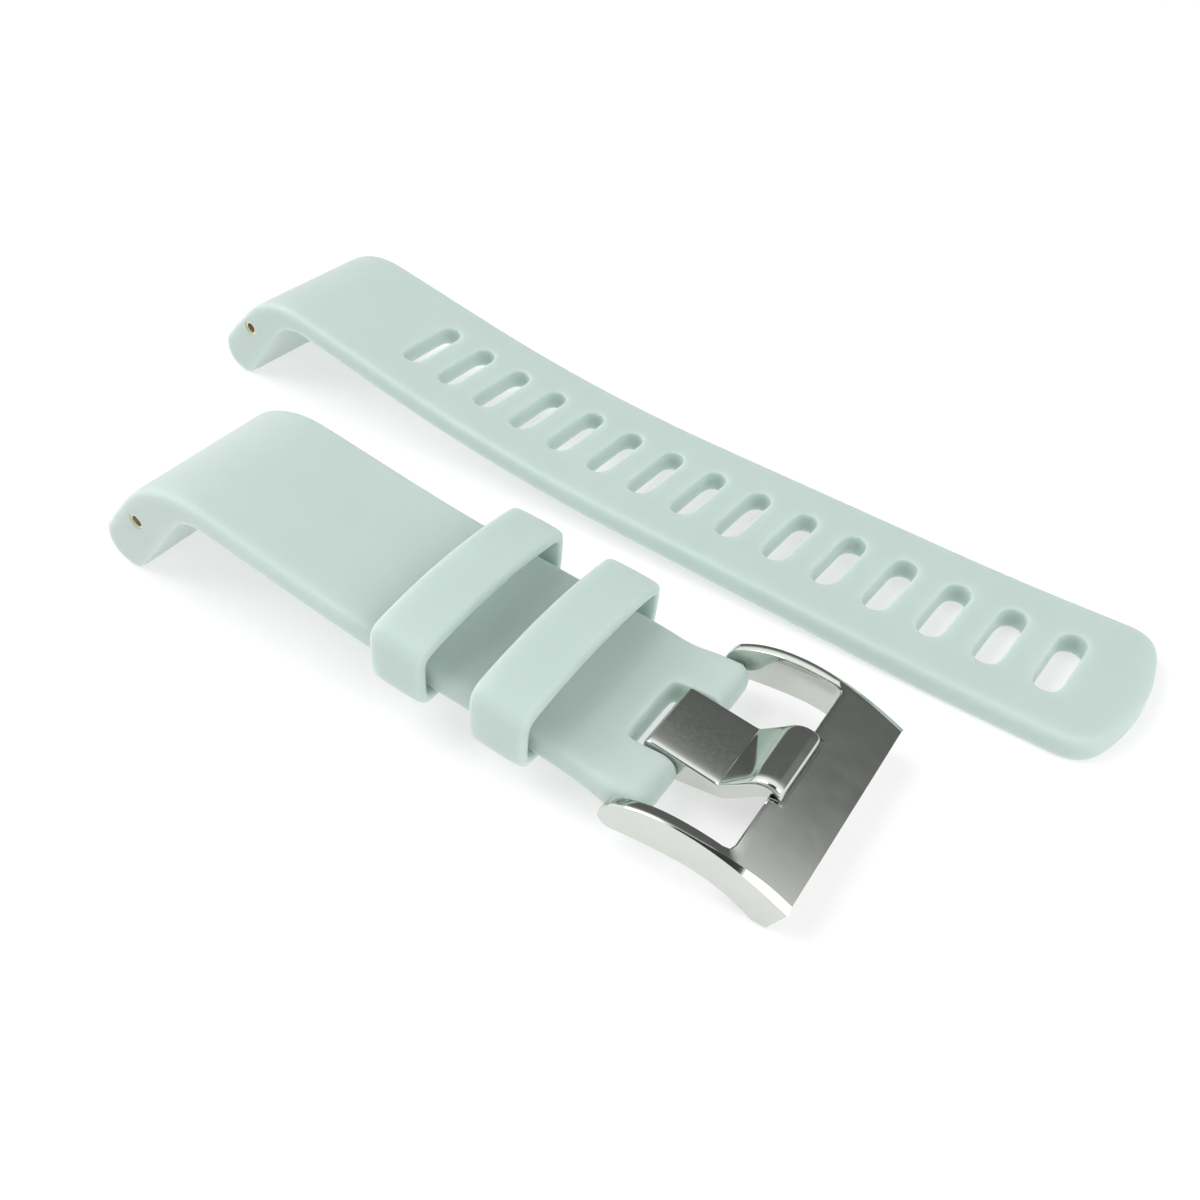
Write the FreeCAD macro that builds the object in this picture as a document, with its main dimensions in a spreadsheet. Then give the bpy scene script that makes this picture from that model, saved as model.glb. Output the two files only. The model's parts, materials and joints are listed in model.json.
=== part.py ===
"""Two-piece moulded watch strap with two keepers and a sprung-bar buckle, laid out as a pair.

Each half is drawn in its own frame: x runs from its lug hole towards its free end, y across the strap, and z
up from the surface that it lies on. half_place() then puts it in the set's frame, whose origin is the centre
of the footprint. The short half lies along +X and the long half is turned a few degrees beside it.
"""
import FreeCAD, Part
import math
import os
import Sketcher
from FreeCAD import Placement, Rotation, Vector

doc = FreeCAD.newDocument("watch_strap_set")
sheet = doc.addObject("Spreadsheet::Sheet", "Sizes")

X_AXIS = Vector(1, 0, 0)
Y_AXIS = Vector(0, 1, 0)
Z_AXIS = Vector(0, 0, 1)

# Tolerances in millimetres: for a coordinate that should agree, and for an edge near a computed corner.
SAME = 1e-4
NEAR = 0.02

# Driving dimensions in millimetres. Slopes are rise over run.
DIMENSIONS = [
    ("strap_width", 24.8, "width of both halves"),
    ("strap_thick", 3.6, "thickness of the band"),
    # The lug end, which hooks down to the watch case. Both halves share these.
    ("ear_reach", 9.8, "from the lug hole back to the outside of the ear"),
    ("ear_shoulder", 5.9, "height at which the ear's end meets the outer slope"),
    ("ear_foot", 3.9, "from the lug hole back to the ear's inner foot, on the surface"),
    ("ear_round", 3.5, "rounding of the ear's end"),
    ("shoulder_round", 4.4, "rounding above the ear"),
    ("lug_hole_height", 10.6, "lug hole above the surface"),
    ("lug_tube_radius", 1.3, "outside of the lug tube"),
    ("lug_bore_radius", 0.9, "bore for the watch's own pin"),
    ("lug_tube_length", 24.2, "lug tube"),
    # The long half.
    ("long_outer_slope", 0.795, "outer face of the lug end"),
    ("long_hump_round", 17.0, "outer bend over the lug end"),
    ("long_arch_round", 9.0, "inner bend under the lug end"),
    ("long_neck_height", 17.06, "neck's underside, run back to the lug hole"),
    ("long_neck_slope", 0.22, "fall of the neck"),
    ("long_tail_slope", 0.05, "fall of the tail"),
    ("long_touch", 135.0, "where the tail meets the surface"),
    ("long_end", 157.5, "tip, from the lug hole"),
    ("tip_round", 4.6, "corners of the tip, seen from above"),
    ("tip_bow", 28.0, "radius of the tip's end, seen from above"),
    ("bend_round", 300.0, "gentle bend between neck and tail"),
    ("touch_round", 396.0, "gentle bend where the tail comes down"),
    ("slot_count", 15, "adjustment slots"),
    ("slot_first", 34.5, "first slot, from the lug hole"),
    ("slot_pitch", 8.06, "slot spacing along the band"),
    ("slot_wide", 3.6, "slot, along the band"),
    ("slot_long", 12.0, "slot, across the band"),
    ("slot_round", 1.5, "slot corners"),
    # The short half.
    ("short_outer_slope", 0.93, "outer face of the lug end"),
    ("short_hump_round", 18.0, "outer bend over the lug end"),
    ("short_arch_round", 7.0, "inner bend under the lug end"),
    ("short_neck_height", 18.753, "neck's underside, run back to the lug hole"),
    ("short_neck_slope", 0.23, "fall of the neck"),
    ("short_tail_height", 15.052, "tail's underside, run back to the lug hole"),
    ("short_tail_slope", 0.142, "fall of the tail"),
    ("short_drop_height", 23.62, "drop's underside, run back to the lug hole"),
    ("short_drop_slope", 0.26, "fall of the drop to the barrel"),
    ("flare_from", 77.5, "start of the flare to the barrel, seen from above"),
    ("flare_round", 8.0, "bends at both ends of the flare"),
    ("barrel_half", 13.3, "half width of the spring bar's barrel"),
    ("barrel_from", 82.0, "start of the full barrel width"),
    ("barrel_radius", 2.3, "half the barrel's height"),
    ("barrel_nose", 2.28, "rounding of the barrel's nose"),
    ("barrel_corner", 2.2, "corners of the barrel, seen from above"),
    ("tongue_slot_from", 79.1, "back wall of the tongue's slot"),
    ("tongue_slot_half", 5.35, "half width of the tongue's slot"),
    ("tongue_slot_round", 1.0, "corners of the tongue's slot"),
    # The hinge line of buckle and tongue.
    ("hinge_x", 84.0, "spring bar, from the lug hole"),
    ("hinge_z", 4.8, "spring bar above the surface"),
    ("bar_radius", 0.9, "outside of the spring bar's tube"),
    ("bar_bore", 0.62, "inside of the spring bar's tube"),
    ("bar_half", 13.0, "half length of the spring bar's tube"),
    ("bar_lip", 0.4, "closed end of the tube, around the tip"),
    ("tip_radius", 0.42, "spring bar's tip"),
    ("tip_reach", 14.6, "end of the tip, from the middle"),
    ("tip_chamfer", 0.2, "chamfer at the end of the tip"),
    ("collar_radius", 0.57, "collar that keeps the tip in the tube"),
    ("collar_long", 1.4, "length of the collar"),
    ("coil_radius", 0.42, "coil, to the middle of its wire"),
    ("coil_wire", 0.1, "half the wire's thickness"),
    ("coil_pitch", 0.88, "coil pitch"),
    ("coil_gap", 0.01, "gap between the coil and each collar"),
    ("running_gap", 0.05, "radial clearance of a part that turns or slides"),
    # The keepers, drawn about the middle of the band that they hold.
    ("keeper_long", 8.2, "along the band"),
    ("keeper_half", 15.0, "half width, outside"),
    ("keeper_wall", 1.6, "wall"),
    ("keeper_under", 2.1, "inside face below the middle of the band"),
    ("keeper_over", 4.7, "inside face above the middle of the band, at the sides"),
    ("keeper_bow", 72.0, "radius of the crowned top"),
    ("keeper_corner", 2.6, "outside corners"),
    ("keeper_inner_corner", 1.2, "inside corners"),
    ("keeper_near_x", 51.75, "first keeper, from the lug hole"),
    ("keeper_far_x", 66.95, "second keeper, from the lug hole"),
    # The buckle frame.
    ("frame_half", 15.1, "half width, outside"),
    ("frame_window_half", 13.7, "half width of the window"),
    ("frame_rear", 81.6, "rear end of the arms"),
    ("frame_crest_x", 90.6, "highest point of the arms"),
    ("frame_crest_z", 9.35, "highest point of the arms"),
    ("frame_edge_x", 105.45, "sharp front edge"),
    ("frame_edge_z", 4.95, "sharp front edge"),
    ("frame_rear_bow", 14.82, "radius of the top, rear"),
    ("frame_arch_x", 92.0, "highest point of the underside"),
    ("frame_arch_z", 3.45, "highest point of the underside"),
    ("frame_arch_bow", 58.0, "radius of the underside, rear"),
    ("frame_foot_x", 101.5, "start of the foot that rests on the surface"),
    ("frame_foot_end", 103.2, "end of the foot"),
    ("frame_rear_round", 1.8, "rounding of the arms' rear ends"),
    ("frame_foot_round", 1.1, "rounding of the foot"),
    ("frame_bar_from", 97.8, "inner edge of the crossbar"),
    ("frame_bar_thick", 2.3, "crossbar"),
    ("frame_lip", 102.2, "rear of the crossbar's front lip"),
    ("frame_lip_lean", 1.2, "how far the lip's rear leans back on its way down"),
    ("frame_window_corner", 0.9, "corners of the window"),
    ("frame_polish", 0.3, "rounding of the polished edges"),
    ("rest_half", 5.5, "half width of the rest for the tongue"),
    ("rest_to", 99.7, "front wall of the rest"),
    ("rest_z", 7.55, "floor of the rest"),
    ("arm_hole_depth", 1.0, "blind hole for the spring bar's tip"),
    # The tongue.
    ("tongue_half", 5.1, "half width"),
    ("tongue_back_x", 81.3, "rear end of the plate"),
    ("tongue_back_z", 7.7, "rear end of the plate"),
    ("tongue_heel_z", 5.5, "underside of the plate's rear end"),
    ("tongue_crease_x", 91.3, "crease"),
    ("tongue_crease_z", 5.75, "crease"),
    ("tongue_peak_x", 96.7, "peak of the raised tip"),
    ("tongue_peak_z", 10.3, "peak of the raised tip"),
    ("tongue_end_x", 99.25, "end of the tip"),
    ("tongue_end_z", 9.35, "top of the tip's end"),
    ("tongue_sole_z", 7.6, "underside of the tip"),
    ("tongue_sole_x", 97.2, "rear of the tip's underside"),
    ("tongue_keel_x", 92.2, "underside below the crease"),
    ("tongue_keel_z", 3.6, "underside below the crease"),
    ("tongue_belly_x", 85.2, "underside beside the eye"),
    ("tongue_belly_z", 4.1, "underside beside the eye"),
    ("tongue_hub", 2.25, "radius of the eye"),
    ("tongue_back_round", 0.9, "rounding of the plate's rear end"),
    ("tongue_peak_round", 2.2, "rounding of the peak"),
    ("tongue_end_round", 0.6, "rounding of the tip's end"),
    ("tongue_sole_round", 1.5, "rounding behind the sole"),
    ("tongue_keel_round", 0.6, "rounding of the keel"),
    # Cutters.
    ("spare", 1.0, "how far a cutter runs past the face that it opens"),
    ("deep", 60.0, "a cutter that goes right through"),
    # Where each half lies in the set.
    ("short_x", -44.42, "lug hole of the short half"),
    ("short_y", -23.36, "centre line of the short half"),
    ("long_x", -73.22, "lug hole of the long half"),
    ("long_y", 25.34, "centre line of the long half, at its lug hole"),
    ("long_turn", -4.36, "turn of the long half about the vertical, degrees"),
]

for row, (alias, value, meaning) in enumerate(DIMENSIONS, start=1):
    sheet.set(f"A{row}", meaning)
    sheet.set(f"B{row}", str(value))
    sheet.setAlias(f"B{row}", alias)
doc.recompute()


def size(alias):
    """A driving dimension's value."""
    return float(sheet.get(alias))


def value_of(expression):
    """What an expression on the sheet comes to."""
    return float(sheet.evalExpression(expression))


def cell(alias):
    """How an expression names a cell of the sheet."""
    return f"Sizes.{alias}"


# ---------------------------------------------------------------- sketches and features


def new_body(name):
    return doc.addObject("PartDesign::Body", name)


def new_sketch(body, name, role):
    """A sketch on one of the body's own origin planes."""
    sketch = body.newObject("Sketcher::SketchObject", name)
    plane = next(f for f in body.Origin.OriginFeatures if f.Role == role)
    sketch.AttachmentSupport = [(plane, "")]
    sketch.MapMode = "FlatFace"
    return sketch


def pin_point(sketch, geometry, end, across, up):
    """Holds one end of a sketch line or arc at a place that follows the sheet."""
    for kind, expression in (("DistanceX", across), ("DistanceY", up)):
        index = sketch.addConstraint(
            Sketcher.Constraint(kind, -1, 1, geometry, end, value_of(expression))
        )
        sketch.setExpression(f"Constraints[{index}]", expression)


def arc_of(start, middle, end):
    """The sketch arc from start through middle to end, which a sketch always stores anticlockwise."""
    circle = Part.Circle(start, middle, end)
    turns_left = (middle - start).cross(end - middle).z > 0
    centre, radius = circle.Center, circle.Radius
    first, last = (start, end) if turns_left else (end, start)
    angles = [math.atan2(p.y - centre.y, p.x - centre.x) for p in (first, last)]
    if angles[1] < angles[0]:
        angles[1] += 2 * math.pi
    return Part.ArcOfCircle(Part.Circle(centre, Z_AXIS, radius), *angles)


def draw_outline(sketch, corners, bows=None):
    """A closed outline through corners, each a pair of expressions for its place in the sketch.

    bows gives the index of each side that is an arc, with its radius expression and +1 where it bulges to
    the right of its direction or -1 where it bulges to the left.
    """
    bows = bows or {}
    places = [Vector(value_of(across), value_of(up), 0) for across, up in corners]
    count = len(places)
    ends = []
    for i, start in enumerate(places):
        end = places[(i + 1) % count]
        if i not in bows:
            sketch.addGeometry(Part.LineSegment(start, end))
            ends.append((1, 2))
            continue
        radius_expression, side = bows[i]
        radius = value_of(radius_expression)
        chord = end - start
        rise = radius - math.sqrt(radius**2 - (chord.Length / 2) ** 2)
        outward = Vector(chord.y, -chord.x, 0).normalize() * side
        arc = arc_of(start, (start + end) * 0.5 + outward * rise, end)
        sketch.addGeometry(arc)
        ends.append((1, 2) if (arc.StartPoint - start).Length < SAME else (2, 1))
    for i in range(count):
        following = (i + 1) % count
        sketch.addConstraint(
            Sketcher.Constraint("Coincident", i, ends[i][1], following, ends[following][0])
        )
        pin_point(sketch, i, ends[i][0], *corners[i])
    for i, (radius_expression, _) in bows.items():
        index = sketch.addConstraint(Sketcher.Constraint("Radius", i, value_of(radius_expression)))
        sketch.setExpression(f"Constraints[{index}]", radius_expression)


def draw_circle(sketch, across, up, radius):
    """A circle whose centre and radius are expressions."""
    centre = Vector(value_of(across), value_of(up), 0)
    sketch.addGeometry(Part.Circle(centre, Z_AXIS, value_of(radius)))
    pin_point(sketch, 0, 3, across, up)
    index = sketch.addConstraint(Sketcher.Constraint("Radius", 0, value_of(radius)))
    sketch.setExpression(f"Constraints[{index}]", radius)


def pad(body, sketch, length):
    """A pad that runs half its length to each side of its sketch."""
    feature = body.newObject("PartDesign::Pad", f"{sketch.Name}_pad")
    feature.Profile = sketch
    feature.SideType = "Symmetric"
    feature.setExpression("Length", length)
    doc.recompute()
    return feature


def pocket(body, sketch, length):
    """A pocket that runs half its length to each side of its sketch, and has to take something away."""
    before = body.Shape.Volume
    feature = body.newObject("PartDesign::Pocket", f"{sketch.Name}_pocket")
    feature.Profile = sketch
    feature.SideType = "Symmetric"
    feature.setExpression("Length", length)
    doc.recompute()
    if body.Shape.Volume > before - SAME:
        raise RuntimeError(f"{feature.Name} cuts nothing")
    return feature


def runs_along(edge):
    """Whether an edge runs straight along the strap."""
    box = edge.BoundBox
    return box.YLength < SAME and box.ZLength < SAME


def stands_upright(edge):
    box = edge.BoundBox
    return box.XLength < SAME and box.YLength < SAME


def lies_across(edge, x, z):
    """Whether an edge runs straight across the strap at (x, z) of its half's frame."""
    box = edge.BoundBox
    across = box.XLength < SAME and box.ZLength < SAME
    return across and abs(box.XMin - x) < NEAR and abs(box.ZMin - z) < NEAR


def stands_at(edge, x, y):
    """Whether an edge stands upright at (x, y) or (x, -y) of its half's frame."""
    box = edge.BoundBox
    return stands_upright(edge) and abs(box.XMin - x) < NEAR and abs(abs(box.YMin) - y) < NEAR


def check_feature(feature):
    if "Invalid" in feature.State or "Error" in feature.State or not feature.isValid():
        raise RuntimeError(f"{feature.Name} failed: {feature.State} {feature.getStatusString()}")


def round_edges(body, name, radius, wanted):
    """Rounds every edge of the body's tip for which wanted(edge) holds."""
    base = body.Tip
    names = [f"Edge{i}" for i, edge in enumerate(base.Shape.Edges, start=1) if wanted(edge)]
    if not names:
        raise RuntimeError(f"{name} finds no edge")
    feature = body.newObject("PartDesign::Fillet", name)
    feature.Base = (base, names)
    feature.setExpression("Radius", radius)
    doc.recompute()
    check_feature(feature)
    return feature


def round_corners(body, corners, rounds):
    """Rounds the edges that run across the strap at the numbered corners of a side outline."""
    for i, radius in rounds.items():
        x, z = (value_of(expression) for expression in corners[i])
        round_edges(body, f"{body.Name}_round{i}", radius, lambda e: lies_across(e, x, z))


def boolean(kind, name, base, tool):
    feature = doc.addObject(kind, name)
    feature.Base = base
    feature.Tool = tool
    doc.recompute()
    return feature


def rod(name, radius, length, x=0.0, z=0.0):
    """A cylinder across the strap, centred on y = 0. radius and length are expressions."""
    cylinder = doc.addObject("Part::Cylinder", name)
    cylinder.setExpression("Radius", radius)
    cylinder.setExpression("Height", length)
    half = value_of(length) / 2
    cylinder.Placement = Placement(Vector(x, half, z), Rotation(X_AXIS, 90))
    return cylinder


# ---------------------------------------------------------------- where things go


def half_place(half):
    """The place of a half's own frame in the set."""
    turn = size("long_turn") if half == "long" else 0.0
    return Placement(Vector(size(f"{half}_x"), size(f"{half}_y"), 0), Rotation(Z_AXIS, turn))


finished = []


def finish(shape_object, node, half, local=None):
    """Names a finished sub-part after its node and puts it in the set's frame."""
    shape_object.Label = node
    shape_object.Placement = half_place(half).multiply(local or Placement())
    finished.append(shape_object)


# ---------------------------------------------------------------- straight faces seen from the side

# Each is the pair (height at the lug hole, fall) of the line z = height - fall * x.


def crossing(first, second):
    """Where two such lines meet, as expressions."""
    x = f"(({first[0]}) - ({second[0]})) / (({first[1]}) - ({second[1]}))"
    return x, f"({first[0]}) - ({first[1]}) * {x}"


def outside(line):
    """The line one strap thickness further out."""
    height, fall = line
    return f"({height}) + {cell('strap_thick')} * sqrt(1 + ({fall})^2)", fall


def outer_face(half):
    slope = cell(f"{half}_outer_slope")
    return f"{cell('ear_shoulder')} + {slope} * {cell('ear_reach')}", f"-{slope}"


INNER_FACE = (cell("ear_foot"), "-1")
SURFACE = ("0", "0")
LONG_NECK = (cell("long_neck_height"), cell("long_neck_slope"))
LONG_TAIL = (f"{cell('long_tail_slope')} * {cell('long_touch')}", cell("long_tail_slope"))
SHORT_NECK = (cell("short_neck_height"), cell("short_neck_slope"))
SHORT_TAIL = (cell("short_tail_height"), cell("short_tail_slope"))
SHORT_DROP = (cell("short_drop_height"), cell("short_drop_slope"))


def bend(first, second, radius):
    """The two ends, in order of rising x, of the arc that rounds the meeting of two lines."""
    x, _ = crossing(first, second)
    reach = f"({radius}) * tan((atan({first[1]}) - atan({second[1]})) / 2)"
    ends = []
    for (height, fall), way in ((first, "-"), (second, "+")):
        at = f"({x} {way} {reach} / sqrt(1 + ({fall})^2))"
        ends.append((at, f"({height}) - ({fall}) * {at}"))
    return ends


def thicker(alias):
    """A bend's radius on the face that is one strap thickness nearer its centre."""
    return f"{cell(alias)} - {cell('strap_thick')}"


def corner(place, rounding=None, bow=None):
    """One corner of a side outline, the rounding that it gets, and the bow of the side that it starts."""
    return place, rounding, bow


def bend_above(first, second, alias):
    """The bend's two corners on the top face."""
    start, end = bend(outside(first), outside(second), thicker(alias))
    return [corner(start, bow=(thicker(alias), 1)), corner(end)]


def bend_below(first, second, alias):
    """The bend's two corners on the underside, which runs back towards the lug."""
    start, end = bend(first, second, cell(alias))
    return [corner(end, bow=(cell(alias), -1)), corner(start)]


def lug_corners(half, neck):
    """The corners of the lug end: outside first, up to the hump, then the arch and the foot inside."""
    back = f"-{cell('ear_reach')}"
    over = [
        corner((back, "0"), cell("ear_round")),
        corner((back, cell("ear_shoulder")), cell("shoulder_round")),
        corner(crossing(outer_face(half), outside(neck)), cell(f"{half}_hump_round")),
    ]
    under = [
        corner(crossing(INNER_FACE, neck), cell(f"{half}_arch_round")),
        corner((f"-{cell('ear_foot')}", "0"), cell("ear_round")),
    ]
    return over, under


def side_body(half, corners, width):
    """The half seen from the side, as wide as it ever gets."""
    body = new_body(f"{half}_side")
    sketch = new_sketch(body, f"{half}_side_outline", "XZ_Plane")
    places = [place for place, _, _ in corners]
    draw_outline(sketch, places, {i: bow for i, (_, _, bow) in enumerate(corners) if bow})
    pad(body, sketch, width)
    rounds = {i: rounding for i, (_, rounding, _) in enumerate(corners) if rounding}
    round_corners(body, places, rounds)
    return body


def lug_hole(half):
    return rod(
        f"{half}_lug_hole",
        cell("lug_tube_radius"),
        f"{cell('strap_width')} + {cell('spare')}",
        z=size("lug_hole_height"),
    )


def make_lug_tube(half):
    """The tube that lines the lug hole."""
    outer = rod(f"{half}_tube_outer", cell("lug_tube_radius"), cell("lug_tube_length"))
    bore_length = f"{cell('lug_tube_length')} + {cell('spare')}"
    inner = rod(f"{half}_tube_inner", cell("lug_bore_radius"), bore_length)
    tube = boolean("Part::Cut", f"{half}_tube", outer, inner)
    finish(tube, f"{half}_lug_tube", half, Placement(Vector(0, 0, size("lug_hole_height")), Rotation()))


# ---------------------------------------------------------------- the long half


def long_side():
    over, under = lug_corners("long", LONG_NECK)
    tail = [
        *bend_above(LONG_NECK, LONG_TAIL, "bend_round"),
        *bend_above(LONG_TAIL, SURFACE, "touch_round"),
        corner((cell("long_end"), cell("strap_thick"))),
        corner((cell("long_end"), "0")),
        *bend_below(LONG_TAIL, SURFACE, "touch_round"),
        *bend_below(LONG_NECK, LONG_TAIL, "bend_round"),
    ]
    return side_body("long", over + tail + under, cell("strap_width"))


def long_plan():
    """The long half from above: a band with a bowed, round-cornered tip."""
    half_wide = f"{cell('strap_width')} / 2"
    corner_x = (
        f"{cell('long_end')} - {cell('tip_bow')} + sqrt({cell('tip_bow')}^2 - ({half_wide})^2)"
    )
    back = f"-{cell('ear_reach')} - {cell('spare')}"
    corners = [
        (back, f"-({half_wide})"),
        (corner_x, f"-({half_wide})"),
        (corner_x, half_wide),
        (back, half_wide),
    ]
    body = new_body("long_plan")
    sketch = new_sketch(body, "long_plan_outline", "XY_Plane")
    draw_outline(sketch, corners, {1: (cell("tip_bow"), 1)})
    pad(body, sketch, cell("deep"))
    tip_x, tip_y = value_of(corner_x), value_of(half_wide)
    round_edges(body, "tip_corners", cell("tip_round"), lambda e: stands_at(e, tip_x, tip_y))
    return body


def band_at(x):
    """Height of the band's middle and its fall at x, on the long half."""
    neck, tail = size("long_neck_slope"), size("long_tail_slope")
    tail_height = tail * size("long_touch")
    bend_x = (size("long_neck_height") - tail_height) / (neck - tail)
    reach = size("bend_round") * math.tan((math.atan(neck) - math.atan(tail)) / 2)
    share = min(max((x - bend_x + reach) / (2 * reach), 0.0), 1.0)
    fall = neck + (tail - neck) * share
    straight = max(size("long_neck_height") - neck * x, tail_height - tail * x, 0.0)
    return straight + size("strap_thick") / 2, fall if x < size("long_touch") else 0.0


def slot_centres():
    """x of each slot, stepping the pitch along the sloping band."""
    x = size("slot_first")
    for _ in range(int(size("slot_count"))):
        yield x
        _, fall = band_at(x + size("slot_pitch") / 2)
        x += size("slot_pitch") / math.hypot(1, fall)


def slot_cutter():
    """One slot's round-cornered block, centred on its own origin."""
    body = new_body("slot_block")
    sketch = new_sketch(body, "slot_outline", "XY_Plane")
    half_wide, half_long = f"{cell('slot_wide')} / 2", f"{cell('slot_long')} / 2"
    corners = [
        (f"-({half_wide})", f"-({half_long})"),
        (half_wide, f"-({half_long})"),
        (half_wide, half_long),
        (f"-({half_wide})", half_long),
    ]
    draw_outline(sketch, corners)
    pad(body, sketch, f"{cell('strap_thick')} * 3")
    round_edges(body, "slot_corners", cell("slot_round"), stands_upright)
    return body


def make_long_strap():
    band = boolean("Part::Common", "long_band", long_side(), long_plan())
    block = slot_cutter()
    cutters = [lug_hole("long")]
    for number, x in enumerate(slot_centres(), start=1):
        height, fall = band_at(x)
        slot = doc.addObject("App::Link", f"slot_{number}")
        slot.LinkedObject = block
        tilt = Rotation(Y_AXIS, math.degrees(math.atan(fall)))
        slot.Placement = Placement(Vector(x, 0, height), tilt)
        cutters.append(slot)
    openings = doc.addObject("Part::MultiFuse", "long_openings")
    openings.Shapes = cutters
    strap = boolean("Part::Cut", "long_cut", band, openings)
    finish(strap, "long_strap", "long")


# ---------------------------------------------------------------- the short half


def short_side():
    over, under = lug_corners("short", SHORT_NECK)
    low = f"{cell('hinge_z')} - {cell('barrel_radius')}"
    high = f"{cell('hinge_z')} + {cell('barrel_radius')}"
    end = f"{cell('hinge_x')} + {cell('barrel_radius')}"
    tail = [
        *bend_above(SHORT_NECK, SHORT_TAIL, "bend_round"),
        corner(crossing(outside(SHORT_TAIL), outside(SHORT_DROP))),
        corner(crossing(outside(SHORT_DROP), (high, "0"))),
        corner((end, high), cell("barrel_nose")),
        corner((end, low), cell("barrel_nose")),
        corner(crossing(SHORT_DROP, (low, "0"))),
        corner(crossing(SHORT_TAIL, SHORT_DROP)),
        *bend_below(SHORT_NECK, SHORT_TAIL, "bend_round"),
    ]
    return side_body("short", over + tail + under, f"{cell('barrel_half')} * 2")


def short_plan():
    """The short half from above: a band that flares to a wide barrel around the spring bar."""
    half_wide = f"{cell('strap_width')} / 2"
    end = f"{cell('hinge_x')} + {cell('barrel_radius')}"
    side = [
        (f"-{cell('ear_reach')} - {cell('spare')}", half_wide),
        (cell("flare_from"), half_wide),
        (cell("barrel_from"), cell("barrel_half")),
        (end, cell("barrel_half")),
    ]
    corners = [(x, f"-({y})") for x, y in side] + side[::-1]
    body = new_body("short_plan")
    sketch = new_sketch(body, "short_plan_outline", "XY_Plane")
    draw_outline(sketch, corners)
    pad(body, sketch, cell("deep"))
    bends = {1: cell("flare_round"), 2: cell("flare_round"), 3: cell("barrel_corner")}
    for i, radius in bends.items():
        x, y = (value_of(expression) for expression in side[i])
        round_edges(body, f"short_bend{i}", radius, lambda e: stands_at(e, x, y))
    return body


def tongue_slot():
    """The open-ended slot in the barrel, where the tongue's eye sits."""
    body = new_body("tongue_slot")
    sketch = new_sketch(body, "tongue_slot_outline", "XY_Plane")
    half_wide = cell("tongue_slot_half")
    back = cell("tongue_slot_from")
    front = f"{cell('hinge_x')} + {cell('barrel_radius')} + {cell('spare')}"
    corners = [(back, f"-{half_wide}"), (front, f"-{half_wide}"), (front, half_wide), (back, half_wide)]
    draw_outline(sketch, corners)
    pad(body, sketch, cell("deep"))
    wall_x, wall_y = size("tongue_slot_from"), size("tongue_slot_half")
    round_edges(
        body, "tongue_slot_corners", cell("tongue_slot_round"), lambda e: stands_at(e, wall_x, wall_y)
    )
    return body


def make_short_strap():
    band = boolean("Part::Common", "short_band", short_side(), short_plan())
    bar_hole = rod(
        "bar_hole", cell("bar_radius"), f"{cell('frame_half')} * 2", size("hinge_x"), size("hinge_z")
    )
    openings = doc.addObject("Part::MultiFuse", "short_openings")
    openings.Shapes = [lug_hole("short"), bar_hole, tongue_slot()]
    strap = boolean("Part::Cut", "short_cut", band, openings)
    finish(strap, "short_strap", "short")


def make_keeper(node, x):
    """A moulded loop around the band, with a crowned top that leaves room for the long half's tail."""
    body = new_body(f"{node}_loop")
    outer = new_sketch(body, f"{node}_outer", "YZ_Plane")
    inner = new_sketch(body, f"{node}_inner", "YZ_Plane")
    wall, half = cell("keeper_wall"), cell("keeper_half")
    under, over = cell("keeper_under"), cell("keeper_over")
    bow = cell("keeper_bow")

    def loop(width, low, high):
        return [(f"-({width})", f"-({low})"), (width, f"-({low})"), (width, high), (f"-({width})", high)]

    draw_outline(outer, loop(half, f"{under} + {wall}", f"{over} + {wall}"), {2: (bow, 1)})
    draw_outline(inner, loop(f"{half} - {wall}", under, over), {2: (f"{bow} - {wall}", 1)})
    pad(body, outer, cell("keeper_long"))
    round_edges(body, f"{node}_corners", cell("keeper_corner"), runs_along)
    pocket(body, inner, f"{cell('keeper_long')} * 2")
    inner_half = size("keeper_half") - size("keeper_wall")
    round_edges(
        body,
        f"{node}_inner_corners",
        cell("keeper_inner_corner"),
        lambda e: runs_along(e) and abs(abs(e.BoundBox.YMin) - inner_half) < SAME,
    )
    fall = size("short_tail_slope")
    middle = size("short_tail_height") - fall * x + size("strap_thick") / 2 * math.hypot(1, fall)
    tilt = Rotation(Y_AXIS, math.degrees(math.atan(fall)))
    finish(body, node, "short", Placement(Vector(x, 0, middle), tilt))


# ---------------------------------------------------------------- the spring bar


def hinge_line():
    return Placement(Vector(size("hinge_x"), 0, size("hinge_z")), Rotation())


def make_bar_tube():
    """The bar's tube, its two ends rolled in around the tips."""
    outer = rod("bar_outer", cell("bar_radius"), f"{cell('bar_half')} * 2")
    bore = rod("bar_bore_cut", cell("bar_bore"), f"({cell('bar_half')} - {cell('bar_lip')}) * 2")
    mouth_radius = f"{cell('tip_radius')} + {cell('running_gap')}"
    mouth = rod("bar_mouth", mouth_radius, f"{cell('bar_half')} * 2 + {cell('spare')}")
    hollow = doc.addObject("Part::MultiFuse", "bar_hollow")
    hollow.Shapes = [bore, mouth]
    finish(boolean("Part::Cut", "bar_tube", outer, hollow), "spring_bar_tube", "short", hinge_line())


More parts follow.
